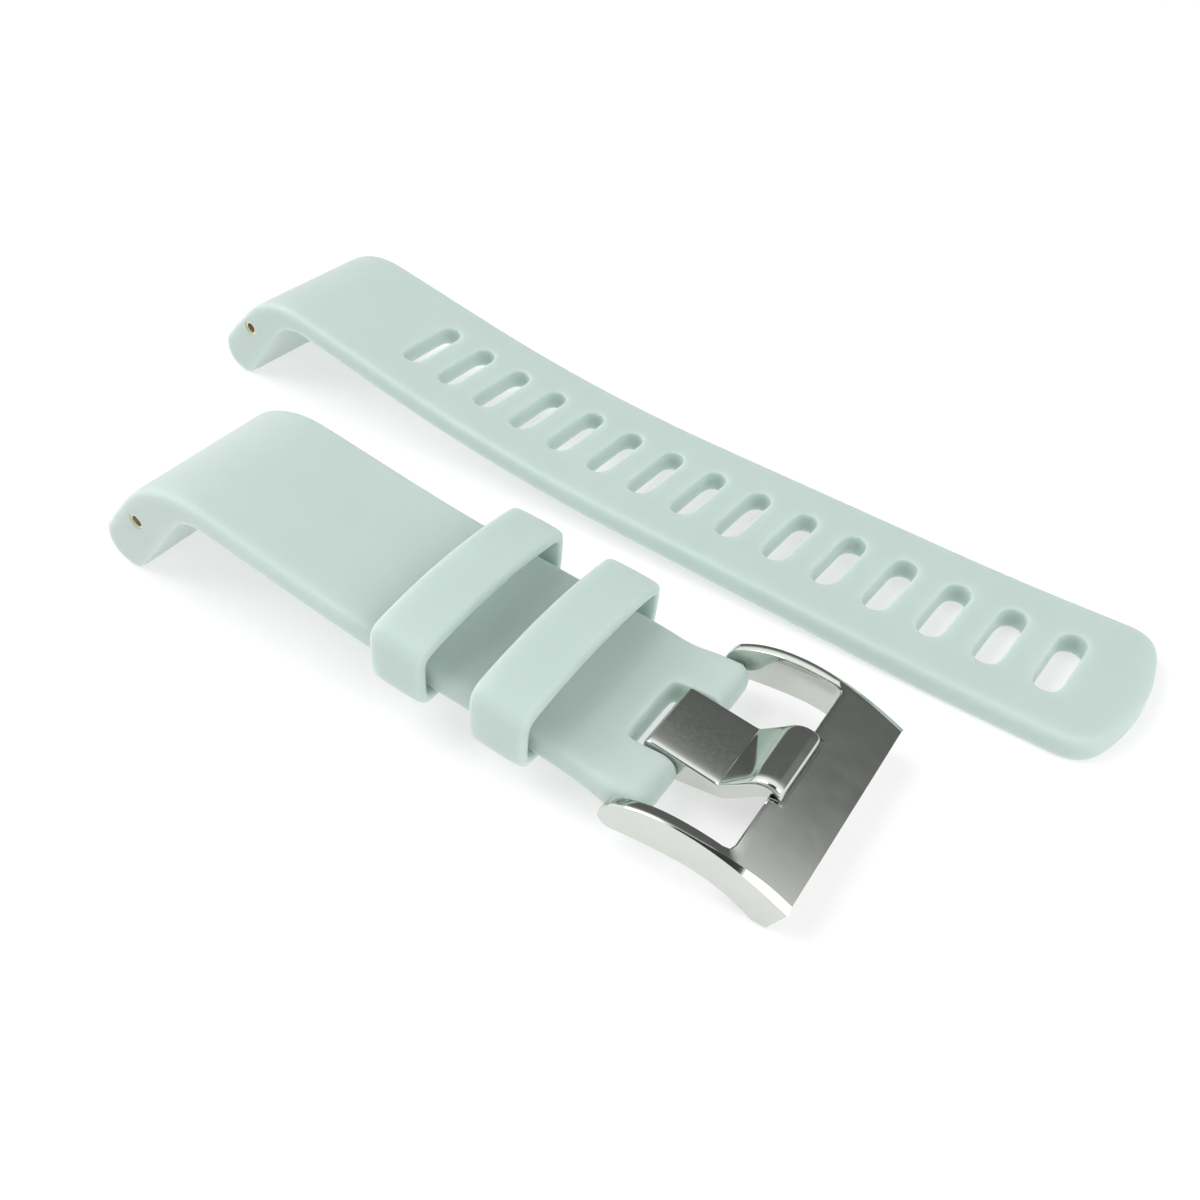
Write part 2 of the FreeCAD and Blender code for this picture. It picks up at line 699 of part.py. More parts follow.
def make_bar_tip(node, side):
    """A sprung tip: a thin pin with a collar that stays inside the tube. side is -1 (near) or +1."""
    body = new_body(f"{node}_body")
    sketch = new_sketch(body, f"{node}_outline", "YZ_Plane")
    inside_wall = f"({cell('bar_half')} - {cell('bar_lip')})"
    collar_start = f"{inside_wall} - {cell('collar_long')}"
    corners = [
        (collar_start, "0"),
        (cell("tip_reach"), "0"),
        (cell("tip_reach"), f"{cell('tip_radius')} - {cell('tip_chamfer')}"),
        (f"{cell('tip_reach')} - {cell('tip_chamfer')}", cell("tip_radius")),
        (inside_wall, cell("tip_radius")),
        (inside_wall, cell("collar_radius")),
        (collar_start, cell("collar_radius")),
    ]
    draw_outline(sketch, corners)
    turned = body.newObject("PartDesign::Revolution", f"{node}_turned")
    turned.Profile = sketch
    turned.ReferenceAxis = (sketch, ["H_Axis"])
    turned.Angle = 360
    doc.recompute()
    facing = Placement(Vector(), Rotation(Z_AXIS, 0 if side > 0 else 180))
    finish(body, node, "short", hinge_line().multiply(facing))


def make_bar_coil():
    """The coil between the two collars."""
    gap = 2 * (size("bar_half") - size("bar_lip") - size("collar_long"))
    length = gap - 2 * (size("coil_wire") + size("coil_gap"))
    helix = doc.addObject("Part::Helix", "coil_helix")
    helix.setExpression("Radius", cell("coil_radius"))
    helix.setExpression("Pitch", cell("coil_pitch"))
    helix.Height = length
    wire = doc.addObject("Part::Circle", "coil_wire_circle")
    wire.setExpression("Radius", cell("coil_wire"))
    wire.Placement = Placement(Vector(size("coil_radius"), 0, 0), Rotation(X_AXIS, 90))
    doc.recompute()
    coil = doc.addObject("Part::Sweep", "coil_sweep")
    coil.Sections = [wire]
    coil.Spine = (helix, ["Edge1"])
    coil.Solid = True
    coil.Frenet = True
    doc.recompute()
    lengthwise = Placement(Vector(0, length / 2, 0), Rotation(X_AXIS, 90))
    finish(coil, "spring_bar_coil", "short", hinge_line().multiply(lengthwise))


# ---------------------------------------------------------------- the buckle


def frame_front_bow():
    """Radius of the arc that leaves the crest level and ends at the sharp front edge."""
    run = f"({cell('frame_edge_x')} - {cell('frame_crest_x')})"
    drop = f"({cell('frame_crest_z')} - {cell('frame_edge_z')})"
    return f"({run}^2 + {drop}^2) / (2 * {drop})"


def level_arc_height(x, crest_x, crest_z, radius):
    """Height at x of the arc that is level at its crest."""
    return f"{crest_z} - {radius} + sqrt(({radius})^2 - ({x} - {crest_x})^2)"


def frame_side_corners():
    """The frame from the side, from the rear of the arms over the top to the foot and back below."""
    rear = cell("frame_rear")
    crest = (cell("frame_crest_x"), cell("frame_crest_z"))
    arch = (cell("frame_arch_x"), cell("frame_arch_z"))
    foot_run = f"({cell('frame_foot_x')} - {arch[0]})"
    foot_bow = f"({foot_run}^2 + {arch[1]}^2) / (2 * {arch[1]})"
    corners = [
        (rear, level_arc_height(rear, *crest, cell("frame_rear_bow"))),
        crest,
        (cell("frame_edge_x"), cell("frame_edge_z")),
        (cell("frame_foot_end"), "0"),
        (cell("frame_foot_x"), "0"),
        arch,
        (rear, level_arc_height(rear, *arch, cell("frame_arch_bow"))),
    ]
    bows = {
        0: (cell("frame_rear_bow"), -1),
        1: (frame_front_bow(), -1),
        4: (foot_bow, 1),
        5: (cell("frame_arch_bow"), 1),
    }
    return corners, bows


def make_frame():
    """Two arms joined by a wide crossbar, whose top falls in one curve to a sharp front edge."""
    body = new_body("frame_body")
    side = new_sketch(body, "frame_side", "XZ_Plane")
    corners, bows = frame_side_corners()
    draw_outline(side, corners, bows)
    pad(body, side, f"{cell('frame_half')} * 2")
    rounds = {0: "frame_rear_round", 3: "frame_foot_round", 6: "frame_rear_round"}
    round_corners(body, corners, {i: cell(alias) for i, alias in rounds.items()})

    half = cell("frame_window_half")
    window = new_sketch(body, "frame_window", "XY_Plane")
    back, front = f"{cell('frame_rear')} - {cell('spare')}", cell("frame_bar_from")
    draw_outline(window, [(back, f"-{half}"), (front, f"-{half}"), (front, half), (back, half)])
    pocket(body, window, cell("deep"))
    inner_x, inner_y = size("frame_bar_from"), size("frame_window_half")
    round_edges(
        body, "frame_window_corners", cell("frame_window_corner"), lambda e: stands_at(e, inner_x, inner_y)
    )

    hollow = new_sketch(body, "frame_hollow", "XZ_Plane")
    crest = (cell("frame_crest_x"), cell("frame_crest_z"))
    under_bow = f"({frame_front_bow()} - {cell('frame_bar_thick')})"
    under = (crest[0], f"({crest[1]} - {cell('frame_bar_thick')})")
    behind, lip = f"{cell('frame_bar_from')} - {cell('spare')}", cell("frame_lip")
    hollow_corners = [
        (behind, level_arc_height(behind, *under, under_bow)),
        (lip, level_arc_height(lip, *under, under_bow)),
        (f"{lip} - {cell('frame_lip_lean')}", f"-{cell('spare')}"),
        (behind, f"-{cell('spare')}"),
    ]
    draw_outline(hollow, hollow_corners, {0: (under_bow, -1)})
    pocket(body, hollow, f"{half} * 2")

    rest = new_sketch(body, "frame_rest", "XZ_Plane")
    front, floor, above = cell("rest_to"), cell("rest_z"), cell("frame_crest_z")
    draw_outline(rest, [(behind, floor), (front, floor), (front, above), (behind, above)])
    pocket(body, rest, f"{cell('rest_half')} * 2")

    holes = new_sketch(body, "frame_holes", "XZ_Plane")
    draw_circle(
        holes, cell("hinge_x"), cell("hinge_z"), f"{cell('tip_radius')} + {cell('running_gap')}"
    )
    pocket(body, holes, f"({half} + {cell('arm_hole_depth')}) * 2")

    outside_face = size("frame_half")
    round_edges(
        body,
        "frame_outer_edges",
        cell("frame_polish"),
        lambda e: abs(abs(e.BoundBox.YMin) - outside_face) < SAME
        and e.BoundBox.YLength < SAME
        and e.BoundBox.ZMax > SAME,
    )
    finish(body, "buckle_frame", "short")


def make_tongue():
    """A cast tongue: an eye on the spring bar, a flat plate, a crease and a raised, rounded tip."""
    body = new_body("tongue_body")
    side = new_sketch(body, "tongue_side", "XZ_Plane")
    corners = [
        (cell("tongue_back_x"), cell("tongue_back_z")),
        (cell("tongue_crease_x"), cell("tongue_crease_z")),
        (cell("tongue_peak_x"), cell("tongue_peak_z")),
        (cell("tongue_end_x"), cell("tongue_end_z")),
        (cell("tongue_end_x"), cell("tongue_sole_z")),
        (cell("tongue_sole_x"), cell("tongue_sole_z")),
        (cell("tongue_keel_x"), cell("tongue_keel_z")),
        (cell("tongue_belly_x"), cell("tongue_belly_z")),
        (cell("tongue_back_x"), cell("tongue_heel_z")),
    ]
    draw_outline(side, corners)
    pad(body, side, f"{cell('tongue_half')} * 2")
    rounds = {0: "back", 2: "peak", 3: "end", 5: "sole", 6: "keel"}
    round_corners(body, corners, {i: cell(f"tongue_{name}_round") for i, name in rounds.items()})
    eye = new_sketch(body, "tongue_eye", "XZ_Plane")
    draw_circle(eye, cell("hinge_x"), cell("hinge_z"), cell("tongue_hub"))
    pad(body, eye, f"{cell('tongue_half')} * 2")
    hole = new_sketch(body, "tongue_hole", "XZ_Plane")
    draw_circle(hole, cell("hinge_x"), cell("hinge_z"), f"{cell('bar_radius')} + {cell('running_gap')}")
    pocket(body, hole, cell("deep"))
    finish(body, "buckle_tongue", "short")


# ---------------------------------------------------------------- build and write

make_long_strap()
make_lug_tube("long")
make_short_strap()
make_lug_tube("short")
make_keeper("keeper_rear", size("keeper_near_x"))
make_keeper("keeper_front", size("keeper_far_x"))
make_bar_tube()
make_bar_tip("spring_bar_tip_near", -1)
make_bar_tip("spring_bar_tip_far", 1)
make_bar_coil()
make_frame()
make_tongue()
doc.recompute()

for item in doc.Objects:
    if "Invalid" in item.State or "Error" in item.State:
        raise RuntimeError(f"{item.Name} failed: {item.State}")

whole = FreeCAD.BoundBox()
for item in finished:
    shape = item.Shape
    if shape.isNull() or not shape.isValid():
        raise RuntimeError(f"{item.Label} has no valid shape")
    if len(shape.Solids) != 1:
        raise RuntimeError(f"{item.Label} is {len(shape.Solids)} solids")
    whole.add(shape.optimalBoundingBox(False, False))
    print(f"{item.Label:22s} {shape.Volume:9.2f} mm3  z from {shape.optimalBoundingBox().ZMin:6.3f}")

print("box", [round(v, 3) for v in (whole.XMin, whole.XMax, whole.YMin, whole.YMax, whole.ZMin, whole.ZMax)])

os.makedirs("parts", exist_ok=True)
for item in finished:
    item.Shape.exportStep(f"parts/{item.Label}.step")
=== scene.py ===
"""The looks of a two-piece moulded watch strap: band, keepers, spring-bar buckle and their materials.

Everything is drawn in millimetres in the frame of the half that it belongs to: x runs from the lug hole
towards the free end, y across the strap and z up from the surface. PLACES takes it to the row frame.
"""
import json
import math
import bmesh
import bpy
from mathutils import Matrix, Vector


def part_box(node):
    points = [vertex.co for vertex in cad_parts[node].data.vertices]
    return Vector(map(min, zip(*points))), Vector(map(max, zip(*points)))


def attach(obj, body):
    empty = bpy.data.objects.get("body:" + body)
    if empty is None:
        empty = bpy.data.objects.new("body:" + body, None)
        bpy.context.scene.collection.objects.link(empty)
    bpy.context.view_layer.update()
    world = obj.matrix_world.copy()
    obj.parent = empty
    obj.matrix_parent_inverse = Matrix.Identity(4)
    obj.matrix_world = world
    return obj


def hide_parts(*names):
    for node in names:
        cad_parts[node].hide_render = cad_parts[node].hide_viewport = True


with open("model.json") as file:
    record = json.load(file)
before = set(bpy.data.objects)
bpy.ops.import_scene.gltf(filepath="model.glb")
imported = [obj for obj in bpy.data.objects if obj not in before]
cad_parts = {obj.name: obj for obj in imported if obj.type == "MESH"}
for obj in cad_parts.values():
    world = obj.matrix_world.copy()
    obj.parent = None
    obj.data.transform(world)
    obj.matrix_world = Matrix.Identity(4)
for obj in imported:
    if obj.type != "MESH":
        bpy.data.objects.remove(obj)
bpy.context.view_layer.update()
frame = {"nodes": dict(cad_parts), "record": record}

MM = 0.001
UP = Vector((0, 0, 1))
ACROSS = Vector((0, 1, 0))

# ---------------------------------------------------------------- where each half lies


def half_matrix(half):
    """From a half's own millimetres to the row frame, worked out from the bore that its lug holds."""
    mount = next(m for m in frame["record"]["mounts"] if m["name"] == f"{half}_lug_bore")
    near = Vector(mount["axis"])
    turn = math.atan2(near.x, -near.y)
    x, y, _ = mount["pos_m"]
    return Matrix.Translation((x, y, 0)) @ Matrix.Rotation(turn, 4, "Z") @ Matrix.Scale(MM, 4)


PLACES = {half: half_matrix(half) for half in ("short", "long")}
TO_SHORT = PLACES["short"].inverted()


def centre_of(node):
    """Middle of a CAD node of the short half, in that half's millimetres."""
    low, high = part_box(node)
    return TO_SHORT @ ((low + high) / 2)


# ---------------------------------------------------------------- dimensions, in millimetres

WIDTH = 24.8
THICK = 3.6
EAR_BACK = -9.8
EAR_SHOULDER = 5.9
EAR_FOOT = -3.9
EAR_ROUND = 3.5
EAR_INNER_ROUND = EAR_ROUND - 0.2
EAR_FLAT = 0.4
SHOULDER_ROUND = 4.4
LUG_HOLE_Z = 10.6
LUG_HOLE_RADIUS = 1.3
BEND_ROUND = 300.0

# Edge roundings of the moulding, seen in section.
TOP_EDGE = 0.95
UNDER_EDGE = 0.65
SLOT_EDGE = 0.38
HOLE_EDGE = 0.22
BESIDE_HOLE_EDGE = 0.72

# Each half from the side: the slope of its ear's outer face, the roundings over and under the lug, and the
# lines of the band's underside at the neck and the tail, as in meeting().
HALVES = {
    "long": {"slope": 0.795, "hump": 17.0, "arch": 9.0, "neck": (17.06, 0.22), "tail": (6.75, 0.05)},
    "short": {"slope": 0.93, "hump": 18.0, "arch": 7.0, "neck": (18.753, 0.23), "tail": (15.052, 0.142)},
}
SHORT_DROP = (23.62, 0.26)
DROP_ROUND = 60.0
LONG_END = 157.5
TOUCH_ROUND = 396.0
TIP_BOW = 28.0
TIP_ROUND = 4.6
SLOT_COUNT = 15
SLOT_FIRST = 34.5
SLOT_PITCH = 8.06
SLOT_WIDE = 3.6
SLOT_LONG = 12.0
SLOT_ROUND = 1.5

HINGE = centre_of("spring_bar_tube")
BARREL_RADIUS = 2.3
BARREL_HALF = 13.3
BARREL_NOSE = BARREL_RADIUS - 0.25
BARREL_APPROACH = 12.0
NOSE_FLAT = 0.2
NOTCH_FROM = 79.1
NOTCH_HALF = 5.35

KEEPER_PLACES = {"rear": 51.75, "front": 66.95}
KEEPER_LONG = 8.2
KEEPER_HALF = 15.0
KEEPER_WALL = 1.6
KEEPER_UNDER = 2.1
KEEPER_OVER = 4.7
KEEPER_BOW = 72.0
KEEPER_CORNER = 2.6
KEEPER_INNER_CORNER = 1.2
KEEPER_EDGE = 0.85
KEEPER_INNER_EDGE = 0.45

# ---------------------------------------------------------------- lines seen from the side


def meeting(first, second):
    """Where the lines z = height - fall * x of two (height, fall) pairs meet."""
    x = (first[0] - second[0]) / (first[1] - second[1])
    return Vector((x, first[0] - first[1] * x))


def raised(line, distance=THICK):
    """The line that lies a distance above another, square to it."""
    height, fall = line
    return height + distance * math.hypot(1, fall), fall


def bisect(before, end):
    """The value up to end at which before(value) stops holding."""
    low, high = 0.0, end
    for _ in range(50):
        middle = (low + high) / 2
        if before(middle):
            low = middle
        else:
            high = middle
    return high


class Path:
    """A line of straight runs whose inner corners are rounded, read by the distance along it."""

    def __init__(self, corners, rounds):
        self.parts = []
        self.length = 0.0
        start = Vector(corners[0])
        for before, here, after, radius in zip(corners, corners[1:], corners[2:], rounds):
            here = Vector(here)
            back, ahead = (Vector(before) - here).normalized(), (Vector(after) - here).normalized()
            half_turn = (math.pi - back.angle(ahead)) / 2
            reach = radius * math.tan(half_turn)
            self._add(start, back * -1, (here + back * reach - start).length, 0.0)
            turn = math.copysign(2 * half_turn, back.x * ahead.y - back.y * ahead.x) * -1
            self._add(here + back * reach, back * -1, radius * 2 * half_turn, turn)
            start = here + ahead * reach
        end = Vector(corners[-1])
        self._add(start, (end - start).normalized(), (end - start).length, 0.0)

    def _add(self, start, direction, length, turn):
        self.parts.append((self.length, start, direction, length, turn))
        self.length += length

    def at(self, distance):
        """(point, direction) at a distance along the line."""
        distance = min(max(distance, 0.0), self.length)
        for begins, start, direction, length, turn in self.parts:
            if distance <= begins + length + 1e-9:
                break
        along = distance - begins
        if not turn:
            return start + direction * along, direction
        radius = length / abs(turn)
        angle = turn * along / length
        side = Vector((-direction.y, direction.x)) * math.copysign(1, turn)
        ahead = math.sin(abs(angle)) * radius
        aside = (1 - math.cos(angle)) * radius
        turned = direction * math.cos(angle) + side * math.sin(abs(angle))
        return start + direction * ahead + side * aside, turned

    def distance_to_x(self, x):
        """Distance along the line at which it reaches an x beyond the lug hole."""
        return bisect(lambda distance: self.at(distance)[0].x < x, self.length)


class Station:
    """One section of a band: its top and bottom points seen from the side, with their outward normals."""

    def __init__(self, top, top_direction, bottom, bottom_direction):
        self.top = Vector((top.x, 0, top.y))
        self.bottom = Vector((bottom.x, 0, bottom.y))
        self.top_normal = Vector((-top_direction.y, 0, top_direction.x))
        self.bottom_normal = Vector((bottom_direction.y, 0, -bottom_direction.x))


def side_paths(half):
    """The outer and inner lines of a half, both from its foot to its free end."""
    shape = HALVES[half]
    neck, tail = shape["neck"], shape["tail"]
    outer_face = (EAR_SHOULDER - shape["slope"] * EAR_BACK, -shape["slope"])
    inner_face = (-EAR_FOOT, -1.0)
    foot = (EAR_BACK + EAR_ROUND + EAR_FLAT, 0)
    over = [foot, (EAR_BACK, 0), (EAR_BACK, EAR_SHOULDER), meeting(outer_face, raised(neck))]
    over.append(meeting(raised(neck), raised(tail)))
    over_rounds = [EAR_ROUND, SHOULDER_ROUND, shape["hump"], BEND_ROUND - THICK]
    under = [foot, (EAR_FOOT, 0), meeting(inner_face, neck), meeting(neck, tail)]
    under_rounds = [EAR_INNER_ROUND, shape["arch"], BEND_ROUND]
    if half == "long":
        surface = (0.0, 0.0)
        over += [meeting(raised(tail), raised(surface)), (LONG_END, THICK)]
        under += [meeting(tail, surface), (LONG_END, 0)]
        over_rounds.append(TOUCH_ROUND - THICK)
        under_rounds.append(TOUCH_ROUND)
    else:
        drop = SHORT_DROP
        low, high = HINGE.z - BARREL_RADIUS, HINGE.z + BARREL_RADIUS
        end = HINGE.x + BARREL_RADIUS
        over += [meeting(raised(tail), raised(drop)), meeting(raised(drop), (high, 0)), (end, high)]
        over.append((end, HINGE.z + NOSE_FLAT))
        under += [meeting(tail, drop), meeting(drop, (low, 0)), (end, low)]
        under.append((end, HINGE.z - NOSE_FLAT))
        over_rounds += [DROP_ROUND - THICK, BARREL_APPROACH, BARREL_NOSE]
        under_rounds += [DROP_ROUND, BARREL_APPROACH, BARREL_NOSE]
    return Path(over, over_rounds), Path(under, under_rounds)


def steps(start, end, count):
    """count + 1 even values from start to end."""
    return [start + (end - start) * i / count for i in range(count + 1)]


# ---------------------------------------------------------------- mesh building

# On a mesh without subdivision, faces that meet at more than this angle keep a sharp edge.
CRISP_ANGLE = math.radians(24)
# Faces along the hole through a lug.
HOLE_WALLS = 8


class Mould:
    """A mesh made of grids of vertices, holes through pairs of grids and rounded rims between them."""

    def __init__(self):
        self.mesh = bmesh.new()

    def vertex(self, place):
        return self.mesh.verts.new(place)

    def face(self, *corners):
        distinct = list(dict.fromkeys(corners))
        if len(distinct) > 2:
            self.mesh.faces.new(distinct)

    def fill(self, grid, skip=()):
        """Faces over a grid of vertices, except in the skipped cells."""
        for i in range(len(grid) - 1):
            for j in range(len(grid[0]) - 1):
                if (i, j) not in skip:
                    self.face(grid[i][j], grid[i + 1][j], grid[i + 1][j + 1], grid[i][j + 1])

    def strip(self, first, second, closed=False):
        """Faces between two rows of vertices of the same length."""
        count = len(first)
        for i in range(count if closed else count - 1):
            k = (i + 1) % count
            self.face(first[i], first[k], second[k], second[i])

    def finish(self, name, matrix, material, smoothing=2):
        """The finished object in the row frame, with smoothing levels of subdivision."""
        bmesh.ops.recalc_face_normals(self.mesh, faces=self.mesh.faces)
        data = bpy.data.meshes.new(name)
        self.mesh.to_mesh(data)
        self.mesh.free()
        data.transform(matrix)
        for polygon in data.polygons:
            polygon.use_smooth = True
        thing = bpy.data.objects.new(name, data)
        bpy.context.scene.collection.objects.link(thing)
        data.materials.append(material)
        if smoothing:
            subdivision = thing.modifiers.new("smoothing", "SUBSURF")
            subdivision.levels = subdivision.render_levels = smoothing
        else:
            data.set_sharp_from_angle(angle=CRISP_ANGLE)
        return thing


def rim(top_corner, bottom_corner, outward, top_normal, bottom_normal, top_edge, bottom_edge, walls=1):
    """Places down a wall with a rounded edge at its top and bottom, from one face's edge to the other's.

    The corners are where the wall would meet each face if it weren't rounded, and outward points out of
    the material. The first and last places lie on the faces, and walls is the number of faces between.
    """
    bend = 1 - math.sqrt(0.5)
    places = [top_corner - outward * top_edge]
    places.append(top_corner - (outward + top_normal) * top_edge * bend)
    wall_top = top_corner - top_normal * top_edge
    wall_bottom = bottom_corner - bottom_normal * bottom_edge
    places += [wall_top.lerp(wall_bottom, share) for share in steps(0.0, 1.0, walls)]
    places.append(bottom_corner - (outward + bottom_normal) * bottom_edge * bend)
    places.append(bottom_corner - outward * bottom_edge)
    return places


def block_outline(first_row, last_row, first_column, last_column):
    """Grid indices round a block of cells."""
    rows = range(first_row, last_row)
    columns = range(first_column, last_column)
    outline = [(i, first_column) for i in rows]
    outline += [(last_row, j) for j in columns]
    outline += [(i, last_column) for i in range(last_row, first_row, -1)]
    outline += [(first_row, j) for j in range(last_column, first_column, -1)]
    return outline


def block_cells(first_row, last_row, first_column, last_column):
    """The cells of a block, by the grid indices of their first corners."""
    return {(i, j) for i in range(first_row, last_row) for j in range(first_column, last_column)}


def round_rectangle(half_x, half_y, radius, cells_x, cells_y):
    """Places and outward normals round a rectangle with round corners, in the order of block_outline()."""
    inner_x, inner_y = half_x - radius, half_y - radius
    places = []
    sides = [
        ((-1, -1), (1, 0), cells_x, inner_x, (0, -1), half_y),
        ((1, -1), (0, 1), cells_y, inner_y, (1, 0), half_x),
        ((1, 1), (-1, 0), cells_x, inner_x, (0, 1), half_y),
        ((-1, 1), (0, -1), cells_y, inner_y, (-1, 0), half_x),
    ]
    for corner, along, cells, inner, outward, reach in sides:
        diagonal = Vector(corner) * math.sqrt(0.5)
        centre = Vector((corner[0] * inner_x, corner[1] * inner_y))
        places.append((centre + diagonal * radius, diagonal))
        for share in steps(-1.0, 1.0, cells - 2):
            places.append((Vector(along) * share * inner + Vector(outward) * reach, Vector(outward)))
    return places


class Band(Mould):
    """A top and a bottom sheet over the same stations, with a rounded wall of WALLS faces down each side.

    open_at(station number, y) is true where a slot leaves both sheets without a vertex.
    """

    WALLS = 4

    def __init__(self, stations, columns, half_widths, edges, open_at=lambda i, y: False):
        super().__init__()
        self.stations = stations
        self.columns = columns
        self.open_at = open_at
        self.sides = {
            side: [self._chain(*entry, side) for entry in zip(stations, half_widths, edges)]
            for side in (-1, 1)
        }
        self.top = [self._row(i, "top") for i in range(len(stations))]
        self.bottom = [self._row(i, "bottom") for i in range(len(stations))]

    def _chain(self, station, half_width, edge, side):
        outward = ACROSS * side
        reach = outward * half_width
        normals = station.top_normal, station.bottom_normal
        places = rim(station.top + reach, station.bottom + reach, outward, *normals, *edge, self.WALLS)
        return [self.vertex(place) for place in places]

    def _row(self, i, face):
        middle = getattr(self.stations[i], face)
        end = 0 if face == "top" else -1
        inner = [None if self.open_at(i, y) else self.vertex(middle + ACROSS * y) for y in self.columns]
        return [self.sides[-1][i][end], *inner, self.sides[1][i][end]]

    def close_end(self, i, skip=()):
        """The faces where the top and bottom sheets meet at a station, except in the skipped columns."""
        for j in range(len(self.top[i]) - 1):
            if j not in skip:
                self.face(self.top[i][j], self.top[i][j + 1], self.bottom[i][j + 1], self.bottom[i][j])
        for side in (-1, 1):
            self.close_chain(self.sides[side][i])

    def close_chain(self, chain):
        """The faces across one end of a wall."""
        self.face(chain[0], chain[1], chain[-2], chain[-1])
        self.face(*chain[1:-1])

    def lug_hole(self, middle_row):
        """The hole across the ear, at the stations round middle_row. Returns the wall cells it takes."""
        first_wall = 2
        reach = self.WALLS // 2
        block = (middle_row - reach, middle_row + reach, first_wall, first_wall + self.WALLS)
        outline = block_outline(*block)
        station = self.stations[middle_row]
        down = (station.bottom - station.top).normalized()
        along = down.cross(ACROSS)
        centre = Vector((0, 0, LUG_HOLE_Z))
        chains = []
        for number in range(len(outline)):
            angle = math.radians(-135 + 360 * number / len(outline))
            radial = along * math.cos(angle) + down * math.sin(angle)
            corners = [centre + radial * LUG_HOLE_RADIUS + ACROSS * y for y in (-WIDTH / 2, WIDTH / 2)]
            places = rim(*corners, -radial, -ACROSS, ACROSS, HOLE_EDGE, HOLE_EDGE, HOLE_WALLS)
            chains.append([self.vertex(place) for place in places])
        self.fill([*chains, chains[0]])
        for side, end in ((-1, 0), (1, -1)):
            border = [self.sides[side][i][j] for i, j in outline]
            self.strip(border, [chain[end] for chain in chains], closed=True)
        return block_cells(*block)

    def slot(self, first_row, first_column, centre, cells_x, cells_y):
        """A slot through both sheets, round its centre station. Returns the sheet cells it takes."""
        block = (first_row, first_row + cells_x, first_column, first_column + cells_y)
        outline = block_outline(*block)
        along = ACROSS.cross(centre.top_normal)
        chains = []
        for place, out in round_rectangle(SLOT_WIDE / 2, SLOT_LONG / 2, SLOT_ROUND, cells_x, cells_y):
            offset = along * place.x + ACROSS * place.y
            inward = -(along * out.x + ACROSS * out.y)
            ends = centre.top + offset, centre.bottom + offset
            places = rim(*ends, inward, centre.top_normal, centre.bottom_normal, SLOT_EDGE, SLOT_EDGE)
            chains.append([self.vertex(p) for p in places])
        self.fill([*chains, chains[0]])
        for sheet, end in ((self.top, 0), (self.bottom, -1)):
            self.strip([sheet[i][j] for i, j in outline], [chain[end] for chain in chains], closed=True)
        return block_cells(*block)


# ---------------------------------------------------------------- stations along a half


def paired(over, under, over_distance, under_distance):
    """The station between two places, each given by its distance along its line."""
    return Station(*over.at(over_distance), *under.at(under_distance))


def upright(over, under, x):
    """The station whose top and bottom are both at x."""
    return paired(over, under, over.distance_to_x(x), under.distance_to_x(x))


def square_to(under, distance, thick=THICK):
    """A station square to the band at a distance along its underside."""
    point, direction = under.at(distance)
    up = Vector((-direction.y, direction.x))
    return Station(point + up * thick, direction, point, direction)


BAND_FROM = 16.6
FOOT_FROM = 0.1
FOOT_PAST_ROUND = 0.2
INNER_FOOT_PAST_ROUND = 0.9
FOOT_STEPS = 5
EAR_STEPS = 11
ARCH_STEPS = 11
HOLE_ROWS = 5


def lug_stations(over, under):
    """Stations from the foot to where the band is straight, and the number of the one at the lug hole."""
    start = square_to(under, under.distance_to_x(BAND_FROM))
    over_end = over.distance_to_x(start.top.x)
    under_end = under.distance_to_x(BAND_FROM)
    over_foot = FOOT_PAST_ROUND + EAR_ROUND * math.pi / 2
    under_foot = FOOT_PAST_ROUND + EAR_ROUND * math.pi / 4 + INNER_FOOT_PAST_ROUND
    hole = Vector((0, 0, LUG_HOLE_Z))

    def station(share):
        return paired(
            over,
            under,
            over_foot + (over_end - over_foot) * share,
            under_foot + (under_end - under_foot) * share,
        )

    def before_hole(share):
        section = station(share)
        return (section.top - section.bottom).cross(hole - section.bottom).y > 0

    share = bisect(before_hole, 1.0)
    foot = [
        paired(
            over,
            under,
            FOOT_FROM + (over_foot - FOOT_FROM) * share,
            FOOT_FROM + (under_foot - FOOT_FROM) * share,
        )
        for share in steps(0.0, 1.0, FOOT_STEPS)[:-1]
    ]
    ear = [station(s) for s in steps(0.0, share, EAR_STEPS)]
    arch = [station(s) for s in steps(share, 1.0, ARCH_STEPS)[1:]]
    return foot + ear + arch, len(foot) + EAR_STEPS


def below(under, x):
    """Distance along the underside at which a station's middle is at x."""
    return bisect(lambda distance: square_to(under, distance, THICK / 2).top.x < x, under.length)


def smooth_step(x, start, end):
    """0 up to start and 1 from end, with a smooth rise between them."""
    share = min(max((x - start) / (end - start), 0.0), 1.0)
    return share * share * (3 - 2 * share)


def lug_edges(count, hole_row):
    """Rounding of the top and bottom edges at the lug's stations, finer beside the hole."""
    tops = [BESIDE_HOLE_EDGE if abs(i - hole_row) < HOLE_ROWS else TOP_EDGE for i in range(count)]
    return [(top, UNDER_EDGE) for top in tops]


# ---------------------------------------------------------------- the long half

SLOT_ROWS = 3
SLOT_COLUMNS = 8
SLOT_MARGIN = (0.9, 1.2)
NECK_STEPS = 5
TIP_ROWS = 4
ARC_PARTS = 4


